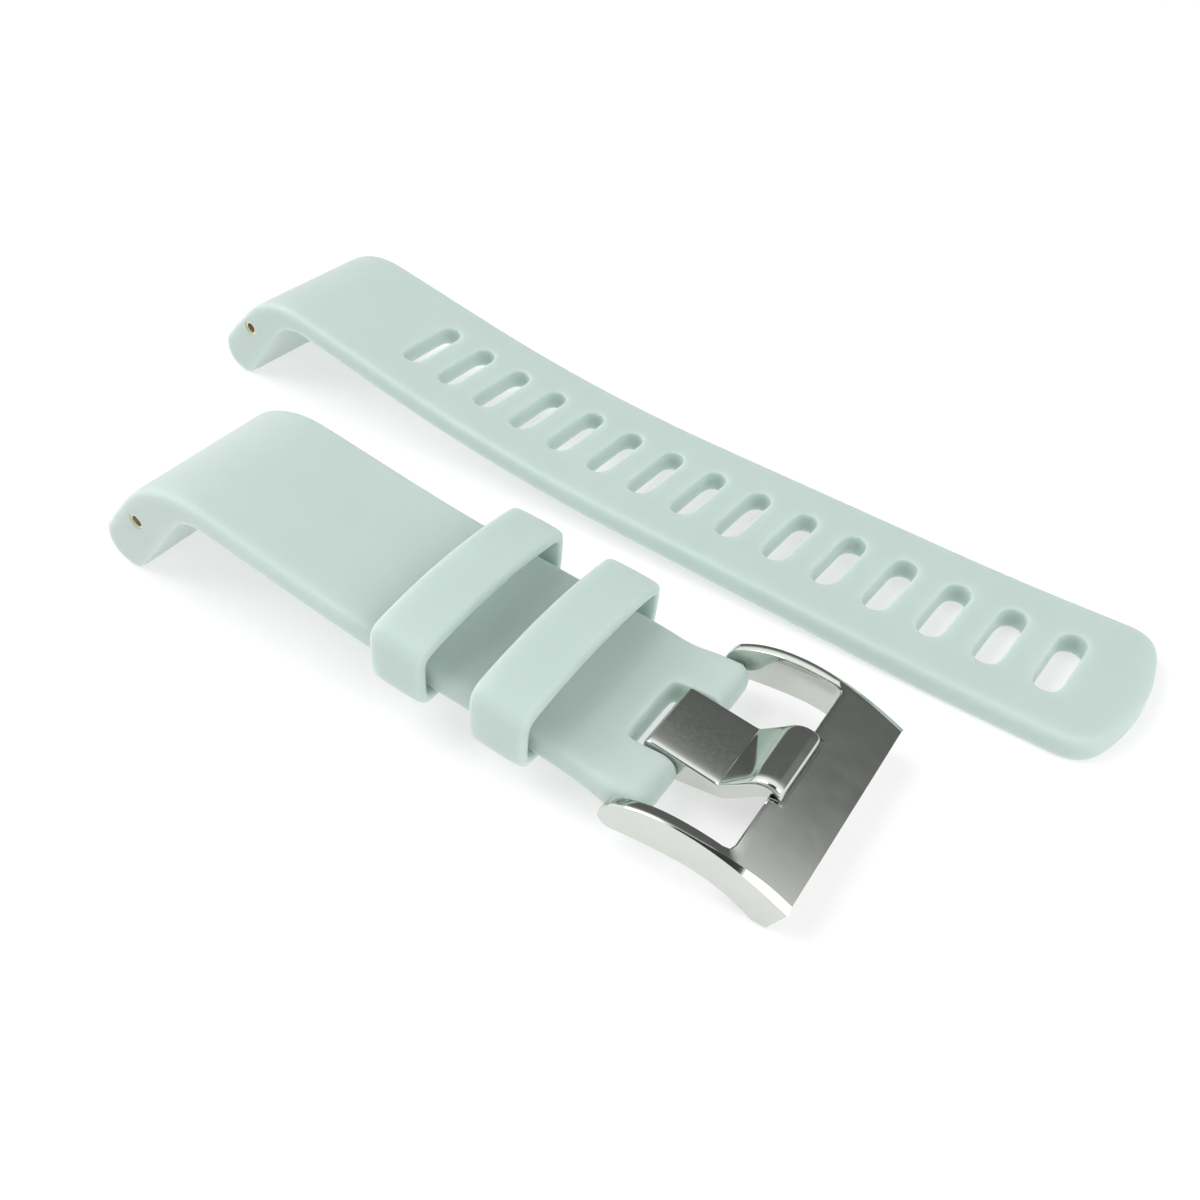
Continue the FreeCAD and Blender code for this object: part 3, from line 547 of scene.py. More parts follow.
def tip_outline(start_x):
    """Places and outward normals round the tip from above: near side, near corner, end, far side."""
    bow_centre = Vector((LONG_END - TIP_BOW, 0))
    corner_y = WIDTH / 2 - TIP_ROUND
    corner_angle = math.asin(corner_y / (TIP_BOW - TIP_ROUND))
    corner_x = bow_centre.x + math.cos(corner_angle) * (TIP_BOW - TIP_ROUND)

    def ray(centre, radius, angle):
        out = Vector((math.cos(angle), math.sin(angle)))
        return centre + out * radius, out

    near = [(Vector(((start_x + corner_x) / 2, -WIDTH / 2)), Vector((0, -1)))]
    for angle in steps(-math.pi / 2, -corner_angle, ARC_PARTS):
        near.append(ray(Vector((corner_x, -corner_y)), TIP_ROUND, angle))
    bow = [ray(bow_centre, TIP_BOW, angle) for angle in steps(-corner_angle, corner_angle, SLOT_COLUMNS)]
    flip = Vector((1, -1))
    far = [(place * flip, out * flip) for place, out in reversed(near)]
    return near + bow[1:-1] + far


def close_tip(band):
    """The rounded tip beyond the band's last station."""
    last = band.stations[-1]
    lift = UP * THICK
    chains = []
    for place, out in tip_outline(last.top.x):
        corner, outward = place.to_3d(), out.to_3d()
        places = rim(corner + lift, corner, outward, UP, -UP, TOP_EDGE, UNDER_EDGE, band.WALLS)
        chains.append([band.vertex(p) for p in places])
    band.fill([band.sides[-1][-1], *chains, band.sides[1][-1]])
    near, front = chains[:TIP_ROWS], chains[TIP_ROWS - 1 : -TIP_ROWS + 1]
    far = chains[: -TIP_ROWS - 1 : -1]
    for sheet, end in ((band.top, 0), (band.bottom, -1)):
        start = sheet[-1]
        final = [chain[end] for chain in front]
        for i in range(TIP_ROWS - 1):
            u = (i + 1) / TIP_ROWS
            left, right = near[i][end], far[i][end]
            row = [left]
            for j in range(1, len(start) - 1):
                v = j / (len(start) - 1)
                along = start[j].co.lerp(final[j].co, u)
                across = left.co.lerp(right.co, v)
                corners = start[0].co.lerp(start[-1].co, v).lerp(final[0].co.lerp(final[-1].co, v), u)
                row.append(band.vertex(along + across - corners))
            sheet.append([*row, right])
        sheet.append(final)


def make_long_strap():
    """The half with the slots and the rounded tip."""
    over, under = side_paths("long")
    stations, hole_row = lug_stations(over, under)
    margin_x, margin_y = SLOT_MARGIN
    block_x, block_y = SLOT_WIDE / 2 + margin_x, SLOT_LONG / 2 + margin_y
    centres = []
    x = SLOT_FIRST
    for _ in range(SLOT_COUNT):
        centres.append(below(under, x))
        x += SLOT_PITCH * under.at(centres[-1])[1].x
    lug_end = under.distance_to_x(BAND_FROM)
    neck = steps(lug_end, centres[0] - block_x, NECK_STEPS)[1:-1]
    stations += [square_to(under, distance) for distance in neck]
    first_rows = []
    for centre in centres:
        first_rows.append(len(stations))
        stations += [square_to(under, d) for d in steps(centre - block_x, centre + block_x, SLOT_ROWS)]
    inner = steps(-block_y, block_y, SLOT_COLUMNS)
    outer = (block_y + WIDTH / 2 - TOP_EDGE) / 2
    edges = lug_edges(len(stations), hole_row)
    band = Band(stations, [-outer, *inner, outer], [WIDTH / 2] * len(stations), edges)
    hole_cells = band.lug_hole(hole_row)
    slot_cells = set()
    for row, centre in zip(first_rows, centres):
        slot_cells |= band.slot(row, 2, square_to(under, centre), SLOT_ROWS, SLOT_COLUMNS)
    for side in (-1, 1):
        band.fill(band.sides[side], hole_cells)
    close_tip(band)
    band.fill(band.top, slot_cells)
    band.fill(band.bottom, slot_cells)
    band.close_end(0)
    return band


# ---------------------------------------------------------------- the short half

NOTCH_ROUND = 1.0
BARREL_EDGE = 1.7
TAPER_FROM = 74.0
FLARE_FROM = 77.0
FLARE_END = 82.6
EDGE_FLARE_END = 83.0
BESIDE_NOTCH = [7.4, 9.6]
SHORT_BAND_STEPS = 22
TAPER_GAP = 1.4
TAPER_STEPS = 3
BARREL_STEPS = 4
NOSE_STEPS = 5


def short_half_width(x):
    """Half the width of the short half at x, which grows a little towards the barrel."""
    return WIDTH / 2 + (BARREL_HALF - WIDTH / 2) * smooth_step(x, FLARE_FROM, FLARE_END)


def short_edge(x):
    """Rounding of the top and bottom edges at x, which grows to that of the barrel's ends."""
    flare = smooth_step(x, FLARE_FROM, EDGE_FLARE_END)
    return tuple(edge + (BARREL_EDGE - edge) * flare for edge in (TOP_EDGE, UNDER_EDGE))


def mirrored(half_columns):
    """Columns either side of a middle one at 0, from those on the side where y is positive."""
    return [-y for y in reversed(half_columns)] + [0.0] + half_columns


def cut_notch(band, row, left, right, half, rounding, edge, way_out=1):
    """The walls of an open-ended slot, from a row of the grid to its last, between two columns.

    half is the slot's half width, and way_out is +1 or -1 as its open end faces along or against x.
    """
    end = len(band.stations) - 1
    way = [(i, left) for i in range(end, row, -1)]
    way += [(row, j) for j in range(left, right + 1)]
    way += [(i, right) for i in range(row + 1, end + 1)]
    chains = []
    for i, j in way:
        station = band.stations[i]
        side = {left: -1, right: 1}.get(j, 0)
        outward = Vector((way_out if i == row else 0.0, -side, 0)).normalized()
        corner = Vector((0, side * half, 0))
        if i == row:
            y = side * (half - rounding) if side else band.columns[j - 1]
            reach = way_out * (edge + (rounding if side else 0.0))
            corner = Vector((reach, y, 0)) - (outward * rounding if side else Vector())
        ends = station.top + corner, station.bottom + corner
        normals = station.top_normal, station.bottom_normal
        places = rim(*ends, outward, *normals, edge, edge, band.WALLS)
        first, last = band.top[i][j], band.bottom[i][j]
        first.co, last.co = places[0], places[-1]
        chains.append([first, *[band.vertex(p) for p in places[1:-1]], last])
    band.fill(chains)
    band.close_chain(chains[0])
    band.close_chain(chains[-1])
    return block_cells(row, end, left, right)


def make_short_strap():
    """The half that ends in the barrel round the spring bar, with a notch there for the tongue."""
    over, under = side_paths("short")
    stations, hole_row = lug_stations(over, under)
    lug_count = len(stations)
    band_start, band_end = under.distance_to_x(BAND_FROM), under.distance_to_x(TAPER_FROM)
    stations += [square_to(under, d) for d in steps(band_start, band_end, SHORT_BAND_STEPS)[1:]]
    notch_row = len(stations) + TAPER_STEPS
    taper = steps(TAPER_FROM + TAPER_GAP, NOTCH_FROM - SLOT_EDGE, TAPER_STEPS)
    barrel = steps(NOTCH_FROM + NOTCH_ROUND, HINGE.x, BARREL_STEPS)
    stations += [upright(over, under, x) for x in taper + barrel]
    over_from, under_from = over.distance_to_x(HINGE.x), under.distance_to_x(HINGE.x)
    for share in steps(0.0, 1.0, NOSE_STEPS)[1:]:
        over_at = over_from + (over.length - over_from) * share
        stations.append(paired(over, under, over_at, under_from + (under.length - under_from) * share))
    inner = NOTCH_HALF - NOTCH_ROUND
    columns = mirrored([inner / 2, inner, NOTCH_HALF + SLOT_EDGE, *BESIDE_NOTCH])
    left = 1 + columns.index(-NOTCH_HALF - SLOT_EDGE)
    right = 1 + columns.index(NOTCH_HALF + SLOT_EDGE)
    middles = [(station.top.x + station.bottom.x) / 2 for station in stations]
    edges = lug_edges(lug_count, hole_row) + [short_edge(x) for x in middles[lug_count:]]

    def open_at(i, y):
        return i > notch_row and abs(y) < NOTCH_HALF

    band = Band(stations, columns, [short_half_width(x) for x in middles], edges, open_at)
    hole_cells = band.lug_hole(hole_row)
    notch_cells = cut_notch(band, notch_row, left, right, NOTCH_HALF, NOTCH_ROUND, SLOT_EDGE)
    for side in (-1, 1):
        band.fill(band.sides[side], hole_cells)
    band.fill(band.top, notch_cells)
    band.fill(band.bottom, notch_cells)
    band.close_end(0)
    band.close_end(len(stations) - 1, range(left, right))
    return band


# ---------------------------------------------------------------- the keepers

KEEPER_CORNER_STEPS = 3
KEEPER_BOW_STEPS = 8
KEEPER_FLAT_STEPS = 6
SAME_PLACE = 0.01


def keeper_loop(half, low, high, bow, radius):
    """Places and outward normals round a keeper's section seen along the band, from below its near side."""
    bow_centre = high - math.sqrt(bow**2 - half**2)
    side = half - radius
    shoulder = bow_centre + math.sqrt((bow - radius) ** 2 - side**2)
    lean = math.atan2(shoulder - bow_centre, side)
    arcs = [
        (side, low + radius, radius, -math.pi / 2, 0.0),
        (side, shoulder, radius, 0.0, lean),
        (0.0, bow_centre, bow, lean, math.pi - lean),
        (-side, shoulder, radius, math.pi - lean, math.pi),
        (-side, low + radius, radius, math.pi, 1.5 * math.pi),
    ]
    places = []
    for y, z, reach, start, end in arcs:
        for angle in steps(start, end, KEEPER_CORNER_STEPS if y else KEEPER_BOW_STEPS):
            out = Vector((0, math.cos(angle), math.sin(angle)))
            place = Vector((0, y, z)) + out * reach
            if not places or (place - places[-1][0]).length > SAME_PLACE:
                places.append((place, out))
    flat = steps(-side, side, KEEPER_FLAT_STEPS)[1:-1]
    places += [(Vector((0, y, low)), Vector((0, 0, -1))) for y in flat]
    return places


def make_keeper():
    """A moulded loop with softly rounded edges, about the middle of the band that it holds."""
    low, high = -KEEPER_UNDER, KEEPER_OVER
    wall = KEEPER_WALL
    outer = keeper_loop(KEEPER_HALF, low - wall, high + wall, KEEPER_BOW, KEEPER_CORNER)
    inner = keeper_loop(KEEPER_HALF - wall, low, high, KEEPER_BOW - wall, KEEPER_INNER_CORNER)
    keeper = Mould()
    ahead = Vector((1, 0, 0))
    rings = []
    for (outside, out), (inside, inner_out) in zip(outer, inner):
        places = []
        for way in (1, -1):
            reach = ahead * (way * KEEPER_LONG / 2)
            ends = outside + reach, inside + reach
            face = rim(*ends, ahead * way, out, -inner_out, KEEPER_EDGE, KEEPER_INNER_EDGE)
            places += face[::way]
        rings.append([keeper.vertex(place) for place in places])
    for ring, following in zip(rings, rings[1:] + rings[:1]):
        keeper.strip(ring, following, closed=True)
    return keeper


def keeper_matrix(x):
    """Where a keeper sits on the sloping tail of the short half."""
    height, fall = HALVES["short"]["tail"]
    middle = height - fall * x + THICK / 2 * math.hypot(1, fall)
    tilt = Matrix.Rotation(math.atan(fall), 4, "Y")
    return PLACES["short"] @ Matrix.Translation((x, 0, middle)) @ tilt


# ---------------------------------------------------------------- the tongue

TONGUE_HALF = 5.1
TONGUE_BACK = 81.3
TONGUE_END = 99.25
TONGUE_CREASE = (91.3, 5.75)
TONGUE_PEAK = (96.7, 10.3)
TONGUE_OVER = [(TONGUE_BACK, 7.7), TONGUE_CREASE, TONGUE_PEAK, (TONGUE_END, 9.35)]
TONGUE_OVER_ROUNDS = [0.9, 0.3, 3.0, 0.9]
TONGUE_EYE = [(TONGUE_BACK, 5.5), (82.3, 2.75), (85.4, 2.7)]
TONGUE_UNDER = [*TONGUE_EYE, (92.2, 3.6), (97.2, 7.65), (TONGUE_END, 7.65)]
TONGUE_UNDER_ROUNDS = [0.4, 1.4, 1.6, 0.8, 1.0, 0.3]
# The lines over and under the tongue start and end together, at these heights.
TONGUE_BACK_Z = 6.6
TONGUE_END_Z = 8.4
# Where its sections stand: two close to the crease keep it crisp.
TONGUE_PLATE_ROWS = [82.2, 83.2, 85.0, 87.0, 89.0, 90.7, TONGUE_CREASE[0] - 0.15, TONGUE_CREASE[0] + 0.15]
TONGUE_TIP_ROWS = [91.9, 93.0, 94.2, 95.4, 96.2, 97.0, 97.8, 98.4]
# Shares of the way round each end of the tongue at which its last sections stand.
TONGUE_BACK_ROWS = (0.15, 0.6)
TONGUE_END_ROWS = (0.5, 0.9)
TONGUE_COLUMNS = [1.7, 3.4]
TONGUE_EDGE = 0.28
TONGUE_TIP_EDGE = 0.3
TONGUE_TIP_EDGE_AT = 94.6
TONGUE_UNDER_EDGE = 0.25


def make_tongue():
    """A cast tongue: a flat plate, a crisp crease and a raised, rounded tip."""
    rear, front = (TONGUE_BACK, TONGUE_BACK_Z), (TONGUE_END, TONGUE_END_Z)
    over = Path([rear, *TONGUE_OVER, front], TONGUE_OVER_ROUNDS)
    under = Path([rear, *TONGUE_UNDER, front], TONGUE_UNDER_ROUNDS)
    rows = TONGUE_PLATE_ROWS + TONGUE_TIP_ROWS
    over_first, under_first = over.distance_to_x(rows[0]), under.distance_to_x(rows[0])
    over_last, under_last = over.distance_to_x(rows[-1]), under.distance_to_x(rows[-1])
    stations = [paired(over, under, over_first * turn, under_first * turn) for turn in TONGUE_BACK_ROWS]
    stations += [upright(over, under, x) for x in rows]
    for share in TONGUE_END_ROWS:
        over_at = over_last + (over.length - over_last) * share
        stations.append(paired(over, under, over_at, under_last + (under.length - under_last) * share))
    edges = []
    for station in stations:
        rise = smooth_step(station.top.x, TONGUE_CREASE[0], TONGUE_TIP_EDGE_AT)
        edges.append((TONGUE_EDGE + TONGUE_TIP_EDGE * rise, TONGUE_UNDER_EDGE))
    tongue = Band(stations, mirrored(TONGUE_COLUMNS), [TONGUE_HALF] * len(stations), edges)
    for side in (-1, 1):
        tongue.fill(tongue.sides[side])
    tongue.fill(tongue.top)
    tongue.fill(tongue.bottom)
    tongue.close_end(0)
    tongue.close_end(len(stations) - 1)
    return tongue


# ---------------------------------------------------------------- the buckle frame

FRAME_HALF = 15.1
FRAME_REAR = 81.6
FRAME_REAR_ROUND = 1.8
FRAME_CREST = (90.6, 9.35)
FRAME_REAR_BOW = 14.82
FRAME_FRONT_BOW = 27.26
FRAME_EDGE_X = 105.45
FRAME_ARCH = (92.0, 3.45)
FRAME_ARCH_BOW = 58.0
FRAME_FOOT_BOW = 14.8
FRAME_FOOT_X = 101.5
FRAME_FOOT_END = 103.2
WINDOW_HALF = 13.7
WINDOW_FRONT = 97.8
WINDOW_ROUND = 0.9
WINDOW_EDGE = 0.22
CROSSBAR_THICK = 2.3
CROSSBAR_LIP = 102.1
REST_HALF = 5.5
REST_FRONT = 99.73
REST_Z = 7.55
# Rows and columns of vertices stand this far either side of a step in the crossbar's top.
STEP_GAP = 0.03
# Vertices this close to an edge of the crossbar belong to the window's walls.
WALL_GAP = 0.05
# Where the crossbar's sections stand, from its sharp edge back to the window.
EDGE_ROWS = [FRAME_EDGE_X, FRAME_EDGE_X - 0.25, 104.6, 103.8, 103.0, 102.5, CROSSBAR_LIP]
REST_ROWS = [102.0, 101.2, 100.4, REST_FRONT + STEP_GAP, REST_FRONT - STEP_GAP, 99.2, 98.6]
ARM_STEPS = 18
REAR_STEPS = 8
REAR_OPENING = 0.01
FRAME_COLUMNS = [2.7, REST_HALF - STEP_GAP, REST_HALF + STEP_GAP, 9.4]
SLOPE_STEP = 0.01
CHAMFER = 0.16
CHAMFER_GROWTH = 0.74
CHAMFER_FROM = 92.5
CHAMFER_END = 104.0
FRAME_UNDER_EDGE = 0.3


def arc_height(x, peak, radius):
    """Height at x of the circle of a radius whose highest point is the (x, z) peak."""
    return peak[1] - radius + math.sqrt(radius**2 - (x - peak[0]) ** 2)


def frame_heights(x):
    """Top and bottom of an arm at x, both closing on each other round its rear end."""
    top = arc_height(x, FRAME_CREST, FRAME_REAR_BOW if x < FRAME_CREST[0] else FRAME_FRONT_BOW)
    if x < FRAME_FOOT_X:
        bottom = arc_height(x, FRAME_ARCH, FRAME_ARCH_BOW if x < FRAME_ARCH[0] else FRAME_FOOT_BOW)
    else:
        bottom = 0.0
    inside = min(max((x - FRAME_REAR) / FRAME_REAR_ROUND, 0.0), 1.0)
    middle, swell = (top + bottom) / 2, math.sqrt(1 - (1 - inside) ** 2)
    return middle + (top - middle) * swell, middle + (bottom - middle) * swell


class FrameBand(Band):
    """A band whose outer top edges are flat chamfers.

    Each of its edges is the width of the chamfer, which falls DROP times that, and the lower rounding.
    """

    WALLS = 2
    DROP = 0.56

    def _chain(self, station, half_width, edge, side):
        chamfer, rounding = edge
        outward = ACROSS * side
        top, bottom = station.top + outward * half_width, station.bottom + outward * half_width
        height = (top - bottom).length
        chamfer, rounding = min(chamfer, height / 3), min(rounding, height / 4)
        wall_top, wall_bottom = top - UP * chamfer * self.DROP, bottom + UP * rounding
        places = [top - outward * chamfer]
        places += [wall_top.lerp(wall_bottom, share) for share in steps(0.0, 1.0, 3)]
        places.append(bottom - outward * rounding)
        return [self.vertex(place) for place in places]


def make_frame():
    """Two arms and a wide crossbar that falls in one curve to a sharp front edge."""
    ahead = EDGE_ROWS + REST_ROWS
    window_row = len(ahead)
    arms = steps(WINDOW_FRONT - WINDOW_ROUND, FRAME_REAR + FRAME_REAR_ROUND, ARM_STEPS)
    turns = steps(0.0, math.pi / 2, REAR_STEPS)[1:]
    rear = [FRAME_REAR + FRAME_REAR_ROUND * (1 - math.sin(turn)) for turn in turns]
    rear[-1] += REAR_OPENING
    stations, edges = [], []
    for x in ahead + [WINDOW_FRONT + WINDOW_EDGE] + arms + rear:
        run = max(x - WINDOW_FRONT, 0.0) / (FRAME_EDGE_X - WINDOW_FRONT)
        under_x = x + (FRAME_FOOT_END - FRAME_EDGE_X) * run
        top, bottom = frame_heights(x)[0], frame_heights(under_x)[1]
        slope = (frame_heights(x + SLOPE_STEP)[0] - top) / SLOPE_STEP
        along_top = Vector((1, slope)).normalized()
        stations.append(Station(Vector((x, top)), along_top, Vector((under_x, bottom)), Vector((1, 0))))
        chamfer = CHAMFER + CHAMFER_GROWTH * smooth_step(x, CHAMFER_FROM, CHAMFER_END)
        edges.append((chamfer, FRAME_UNDER_EDGE))
    columns = mirrored([*FRAME_COLUMNS, WINDOW_HALF - WINDOW_ROUND, WINDOW_HALF + WINDOW_EDGE])

    def open_at(i, y):
        return i > window_row and abs(y) < WINDOW_HALF

    band = FrameBand(stations, columns, [FRAME_HALF] * len(stations), edges, open_at)
    left, right = 1, len(columns)
    cells = cut_notch(band, window_row, left, right, WINDOW_HALF, WINDOW_ROUND, WINDOW_EDGE, -1)
    for side in (-1, 1):
        band.fill(band.sides[side])
    band.fill(band.top, cells)
    band.fill(band.bottom, cells)
    band.close_end(0)
    band.close_end(len(stations) - 1, range(left, right))
    for vertex in band.mesh.verts:
        x, y, z = vertex.co
        if WINDOW_FRONT - WALL_GAP < x < CROSSBAR_LIP and abs(y) < WINDOW_HALF - WALL_GAP:
            z = max(z, frame_heights(x)[0] - CROSSBAR_THICK)
        if WINDOW_FRONT - WALL_GAP < x < REST_FRONT and abs(y) < REST_HALF:
            z = min(z, REST_Z)
        vertex.co.z = z
    return band


# ---------------------------------------------------------------- finishes

# Pairs of colours that a finish wanders between.
MINT = (0.495, 0.595, 0.56), (0.52, 0.62, 0.585)
POLISHED_STEEL = (0.65, 0.68, 0.64), (0.61, 0.64, 0.60)
FLOOR_WHITE = (0.45, 0.45, 0.45), (0.47, 0.47, 0.47)


def new_material(name, **values):
    """A material whose principled shader has the given values, with its node tree and that shader."""
    material = bpy.data.materials.new(name)
    material.use_nodes = True
    tree = material.node_tree
    shader = tree.nodes["Principled BSDF"]
    for key, value in values.items():
        shader.inputs[key.replace("_", " ")].default_value = value
    return material, tree, shader


def noise(tree, per_mm, detail=3.0, roughness=0.5):
    """Noise that goes with the object, with about that many features to a millimetre."""
    places = tree.nodes.new("ShaderNodeTexCoord")
    texture = tree.nodes.new("ShaderNodeTexNoise")
    texture.inputs["Scale"].default_value = per_mm / MM
    texture.inputs["Detail"].default_value = detail
    texture.inputs["Roughness"].default_value = roughness
    tree.links.new(places.outputs["Object"], texture.inputs["Vector"])
    return texture.outputs["Fac"]


def remap(tree, value, low, high, start=0.3, end=0.7):
    """A value that runs from low to high while the given one runs from start to end, and no further."""
    node = tree.nodes.new("ShaderNodeMapRange")
    tree.links.new(value, node.inputs["Value"])
    for key, number in (("From Min", start), ("From Max", end), ("To Min", low), ("To Max", high)):
        node.inputs[key].default_value = number
    return node.outputs["Result"]


def mix_colours(tree, factor, first, second):
    """A colour between two, by a factor."""
    node = tree.nodes.new("ShaderNodeMix")
    node.data_type = "RGBA"
    tree.links.new(factor, node.inputs["Factor"])
    for socket, colour in (("A", first), ("B", second)):
        place = next(s for s in node.inputs if s.name == socket and s.type == "RGBA")
        place.default_value = (*colour, 1.0)
    return next(s for s in node.outputs if s.type == "RGBA")


def add_bump(tree, shader, *layers):
    """Bump from (height, depth in mm) layers, one over the other."""
    normal = None
    for height, depth in layers:
        bump = tree.nodes.new("ShaderNodeBump")
        bump.inputs["Distance"].default_value = depth * MM
        tree.links.new(height, bump.inputs["Height"])
        if normal:
            tree.links.new(normal, bump.inputs["Normal"])
        normal = bump.outputs["Normal"]
    tree.links.new(normal, shader.inputs["Normal"])


def silicone():
    """Matt pale mint silicone with a fine moulded grain and a little unevenness in its colour."""
    material, tree, shader = new_material(
        "mint_silicone",
        Subsurface_Weight=0.85,
        Subsurface_Radius=(1.0, 1.1, 1.05),
        Subsurface_Scale=0.003,
        Sheen_Weight=0.12,
        Sheen_Roughness=0.5,
        IOR=1.42,
    )
    tint = mix_colours(tree, noise(tree, 0.12, 2.0), *MINT)
    tree.links.new(tint, shader.inputs["Base Color"])
    tree.links.new(remap(tree, noise(tree, 1.3), 0.42, 0.56), shader.inputs["Roughness"])
    add_bump(tree, shader, (noise(tree, 0.35, 1.0), 0.03), (noise(tree, 9.0, 2.0), 0.004))
    return material


def combine(tree, operation, first, second):
    """The result of one step of arithmetic on two values."""
    node = tree.nodes.new("ShaderNodeMath")
    node.operation = operation
    tree.links.new(first, node.inputs[0])
    tree.links.new(second, node.inputs[1])
    return node.outputs["Value"]


def within(tree, axis, low, high, soft):
    """1 where the object's own coordinate lies between two values in metres, falling to 0 outside."""
    places = tree.nodes.new("ShaderNodeTexCoord")
    split = tree.nodes.new("ShaderNodeSeparateXYZ")
    tree.links.new(places.outputs["Object"], split.inputs[0])
    rise = remap(tree, split.outputs[axis], 0.0, 1.0, low, low + soft)
    fall = remap(tree, split.outputs[axis], 1.0, 0.0, high - soft, high)
    return combine(tree, "MULTIPLY", rise, fall)


SATIN_INSET = 0.3
SATIN_FADE = 0.3


def buckle_metal():
    """Polished steel, satin on the broad top of the crossbar."""
    material, tree, shader = new_material("buckle_steel_finish", Metallic=1.0)
    tint = mix_colours(tree, noise(tree, 0.4, 4.0), *POLISHED_STEEL)
    tree.links.new(tint, shader.inputs["Base Color"])
    start = PLACES["short"] @ Vector((WINDOW_FRONT + SATIN_INSET, 0, 0))
    end = PLACES["short"] @ Vector((FRAME_EDGE_X, 0, 0))
    along = within(tree, "X", start.x, end.x + SATIN_FADE * MM, SATIN_FADE * MM)
    reach = (FRAME_HALF - CHAMFER - CHAMFER_GROWTH) * MM
    across = within(tree, "Y", start.y - reach, start.y + reach, SATIN_FADE / 2 * MM)
    node = tree.nodes.new("ShaderNodeMix")
    tree.links.new(combine(tree, "MULTIPLY", along, across), node.inputs["Factor"])
    tree.links.new(remap(tree, noise(tree, 2.0, 4.0), 0.07, 0.11), node.inputs["A"])
    tree.links.new(remap(tree, noise(tree, 0.5, 2.0), 0.15, 0.18), node.inputs["B"])
    tree.links.new(node.outputs["Result"], shader.inputs["Roughness"])
    add_bump(tree, shader, (noise(tree, 0.7, 2.0), 0.001))
    return material


def metal(name, colour, roughness, grain):
    """Metal whose roughness wanders a little, with a fine bump of the given depth in mm."""
    material, tree, shader = new_material(name, Metallic=1.0)
    shade = tuple(channel * 0.93 for channel in colour)
    tint = mix_colours(tree, noise(tree, 0.4, 4.0), colour, shade)
    tree.links.new(tint, shader.inputs["Base Color"])
    spread = remap(tree, noise(tree, 2.5, 5.0), roughness * 0.8, roughness * 1.25)
    tree.links.new(spread, shader.inputs["Roughness"])
    add_bump(tree, shader, (noise(tree, 12.0, 3.0), grain))
    return material


# By the names of the record's material slots.
FINISHES = {
    "silicone": silicone(),
    "buckle_steel": buckle_metal(),
    "bar_steel": metal("bar_steel_finish", (0.58, 0.58, 0.57), 0.3, 0.001),
    "lug_brass": metal("lug_brass_finish", (0.88, 0.80, 0.56), 0.45, 0.001),
}

# ---------------------------------------------------------------- the pieces on the frame


def place_piece(mould, name, matrix, node, body, slot, **options):
    """A finished piece that rides on a body and stands for a CAD node."""
    piece = mould.finish(name, matrix, FINISHES[slot], **options)
    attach(piece, body)
    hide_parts(node)


SHORT = PLACES["short"]
place_piece(make_long_strap(), "long_band", PLACES["long"], "long_strap", "long_half", "silicone")
place_piece(make_short_strap(), "short_band", SHORT, "short_strap", "short_half", "silicone")
for name, x in KEEPER_PLACES.items():
    loop = f"{name}_loop"
    place_piece(make_keeper(), loop, keeper_matrix(x), f"keeper_{name}", f"{name}_keeper", "silicone")
place_piece(make_frame(), "cast_frame", SHORT, "buckle_frame", "buckle", "buckle_steel", smoothing=0)
place_piece(make_tongue(), "cast_tongue", SHORT, "buckle_tongue", "tongue", "buckle_steel")

for node in frame["nodes"].values():
    for place in node.material_slots:
        place.material = FINISHES[place.material.name]

# ---------------------------------------------------------------- floor, light and camera


def make_floor():
    """A plain pale floor that is lit enough to have only a faint shadow."""
    bpy.ops.mesh.primitive_plane_add(size=6.0)
    floor = bpy.context.object
    floor.name = "floor"
    material, tree, shader = new_material("lit_floor", Roughness=0.9, Emission_Strength=0.55)
    shader.inputs["Emission Color"].default_value = (1, 1, 1, 1)
    tint = mix_colours(tree, noise(tree, 0.01), *FLOOR_WHITE)
    tree.links.new(tint, shader.inputs["Base Color"])
    floor.data.materials.append(material)


# Cards round the white studio: direction, the cosines at which each begins and is at its darkest, and how
# much light it leaves there. The first two are dark, for the metal to reflect.
CARDS = [
    (Vector((0.0, 1.0, 0.0)), 0.47, 0.575, 0.12),
    (Vector((0.2, -0.42, 0.88)), 0.87, 0.91, 0.05),
    (Vector((0.35, -0.93, 0.1)), 0.25, 0.85, 0.4),
]
STUDIO_STRENGTH = 1.22


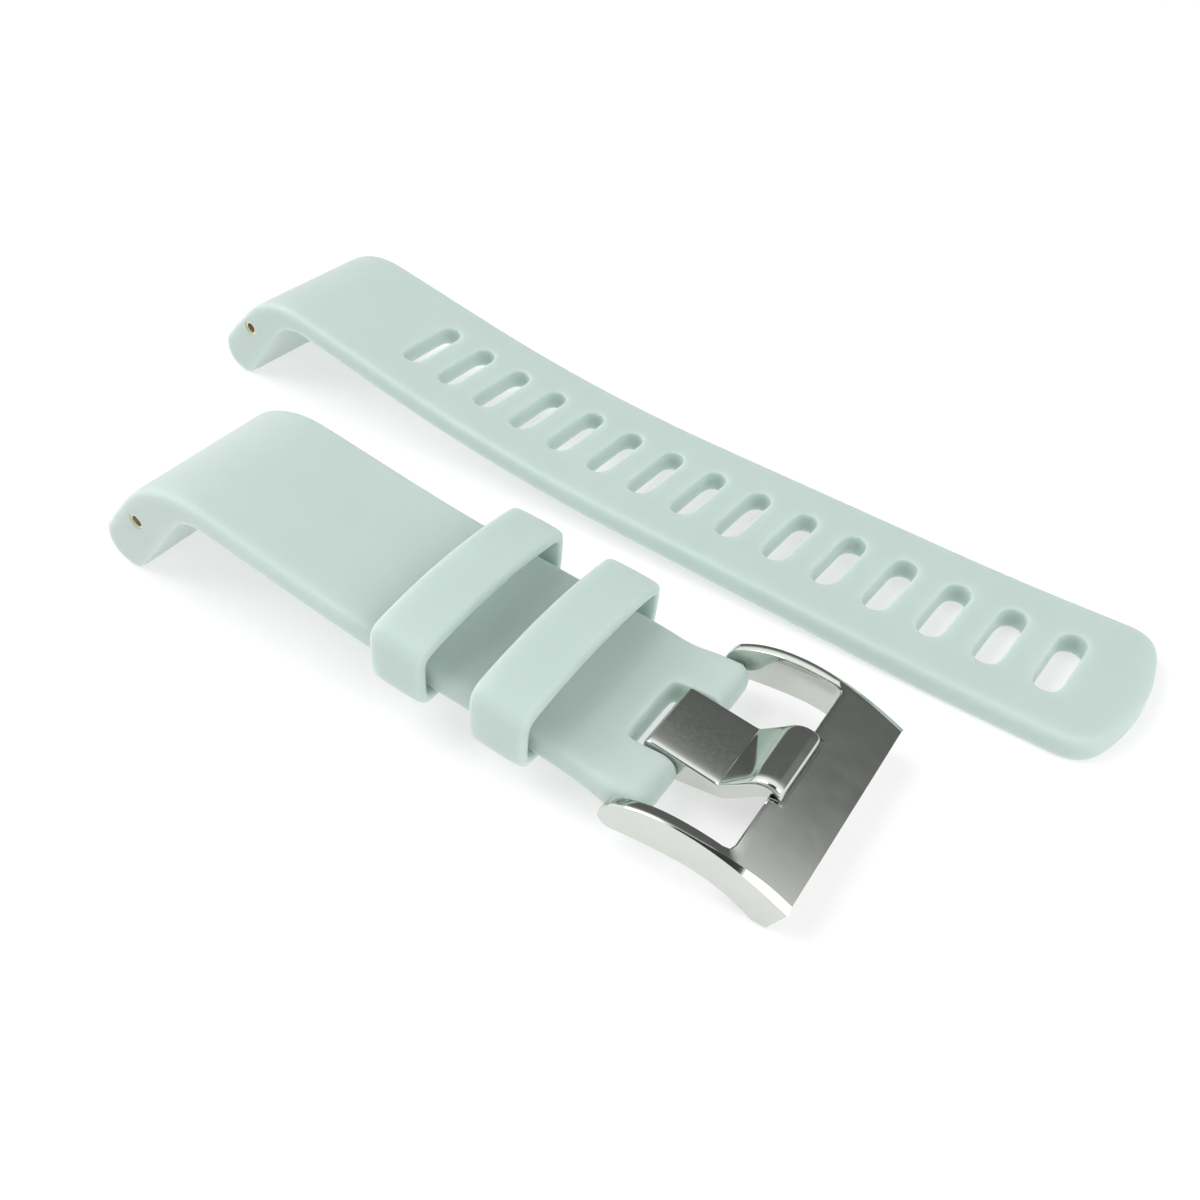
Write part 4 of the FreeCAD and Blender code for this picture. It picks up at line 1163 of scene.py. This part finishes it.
def make_world():
    """A white studio, lit as if darker cards stood round it. The cards themselves aren't seen."""
    world = bpy.data.worlds.new("studio")
    bpy.context.scene.world = world
    world.use_nodes = True
    tree = world.node_tree
    background = tree.nodes["Background"]
    background.inputs["Strength"].default_value = STUDIO_STRENGTH
    looking = tree.nodes.new("ShaderNodeTexCoord").outputs["Generated"]
    shade = None
    for direction, start, end, darkest in CARDS:
        dot = tree.nodes.new("ShaderNodeVectorMath")
        dot.operation = "DOT_PRODUCT"
        dot.inputs[1].default_value = direction.normalized()
        tree.links.new(looking, dot.inputs[0])
        card = remap(tree, dot.outputs["Value"], 1.0, darkest, start, end)
        shade = combine(tree, "MINIMUM", shade, card) if shade else card
    seen = tree.nodes.new("ShaderNodeLightPath").outputs["Is Camera Ray"]
    tree.links.new(combine(tree, "MAXIMUM", shade, seen), background.inputs["Color"])


# Name, place and side in metres, and power in watts of each soft light. They aim at the origin.
LIGHTS = [
    ("key", Vector((-0.4, -0.12, 0.55)), 0.5, 2.05),
    ("fill", Vector((0.5, -0.15, 0.35)), 0.4, 1.2),
]


def make_lights():
    for name, place, side, power in LIGHTS:
        light = bpy.data.lights.new(name, "AREA")
        light.size = side
        light.energy = power
        lamp = bpy.data.objects.new(name, light)
        bpy.context.scene.collection.objects.link(lamp)
        lamp.location = place
        lamp.rotation_euler = (-place).to_track_quat("-Z", "Y").to_euler()


# The photograph's viewpoint, as fitted to the outlines of both halves.
VIEW_AZIMUTH = math.radians(35.93)
VIEW_ELEVATION = math.radians(41.85)
VIEW_ROLL = math.radians(-2.43)
VIEW_FROM = Vector((0.08301, -0.09936, 0.10504))
SENSOR_WIDTH = 36.0
LENS = 33.0


def make_camera():
    data = bpy.data.cameras.new("camera")
    data.sensor_width = SENSOR_WIDTH
    data.lens = LENS
    data.clip_start = 0.01
    camera = bpy.data.objects.new("camera", data)
    bpy.context.scene.collection.objects.link(camera)
    turn = Matrix.Rotation(VIEW_AZIMUTH, 4, "Z")
    tilt = Matrix.Rotation(math.pi / 2 - VIEW_ELEVATION, 4, "X")
    roll = Matrix.Rotation(VIEW_ROLL, 4, "Z")
    camera.matrix_world = Matrix.Translation(VIEW_FROM) @ turn @ tilt @ roll
    bpy.context.scene.camera = camera


make_floor()
make_world()
make_lights()
make_camera()
bpy.context.scene.view_settings.view_transform = "Standard"
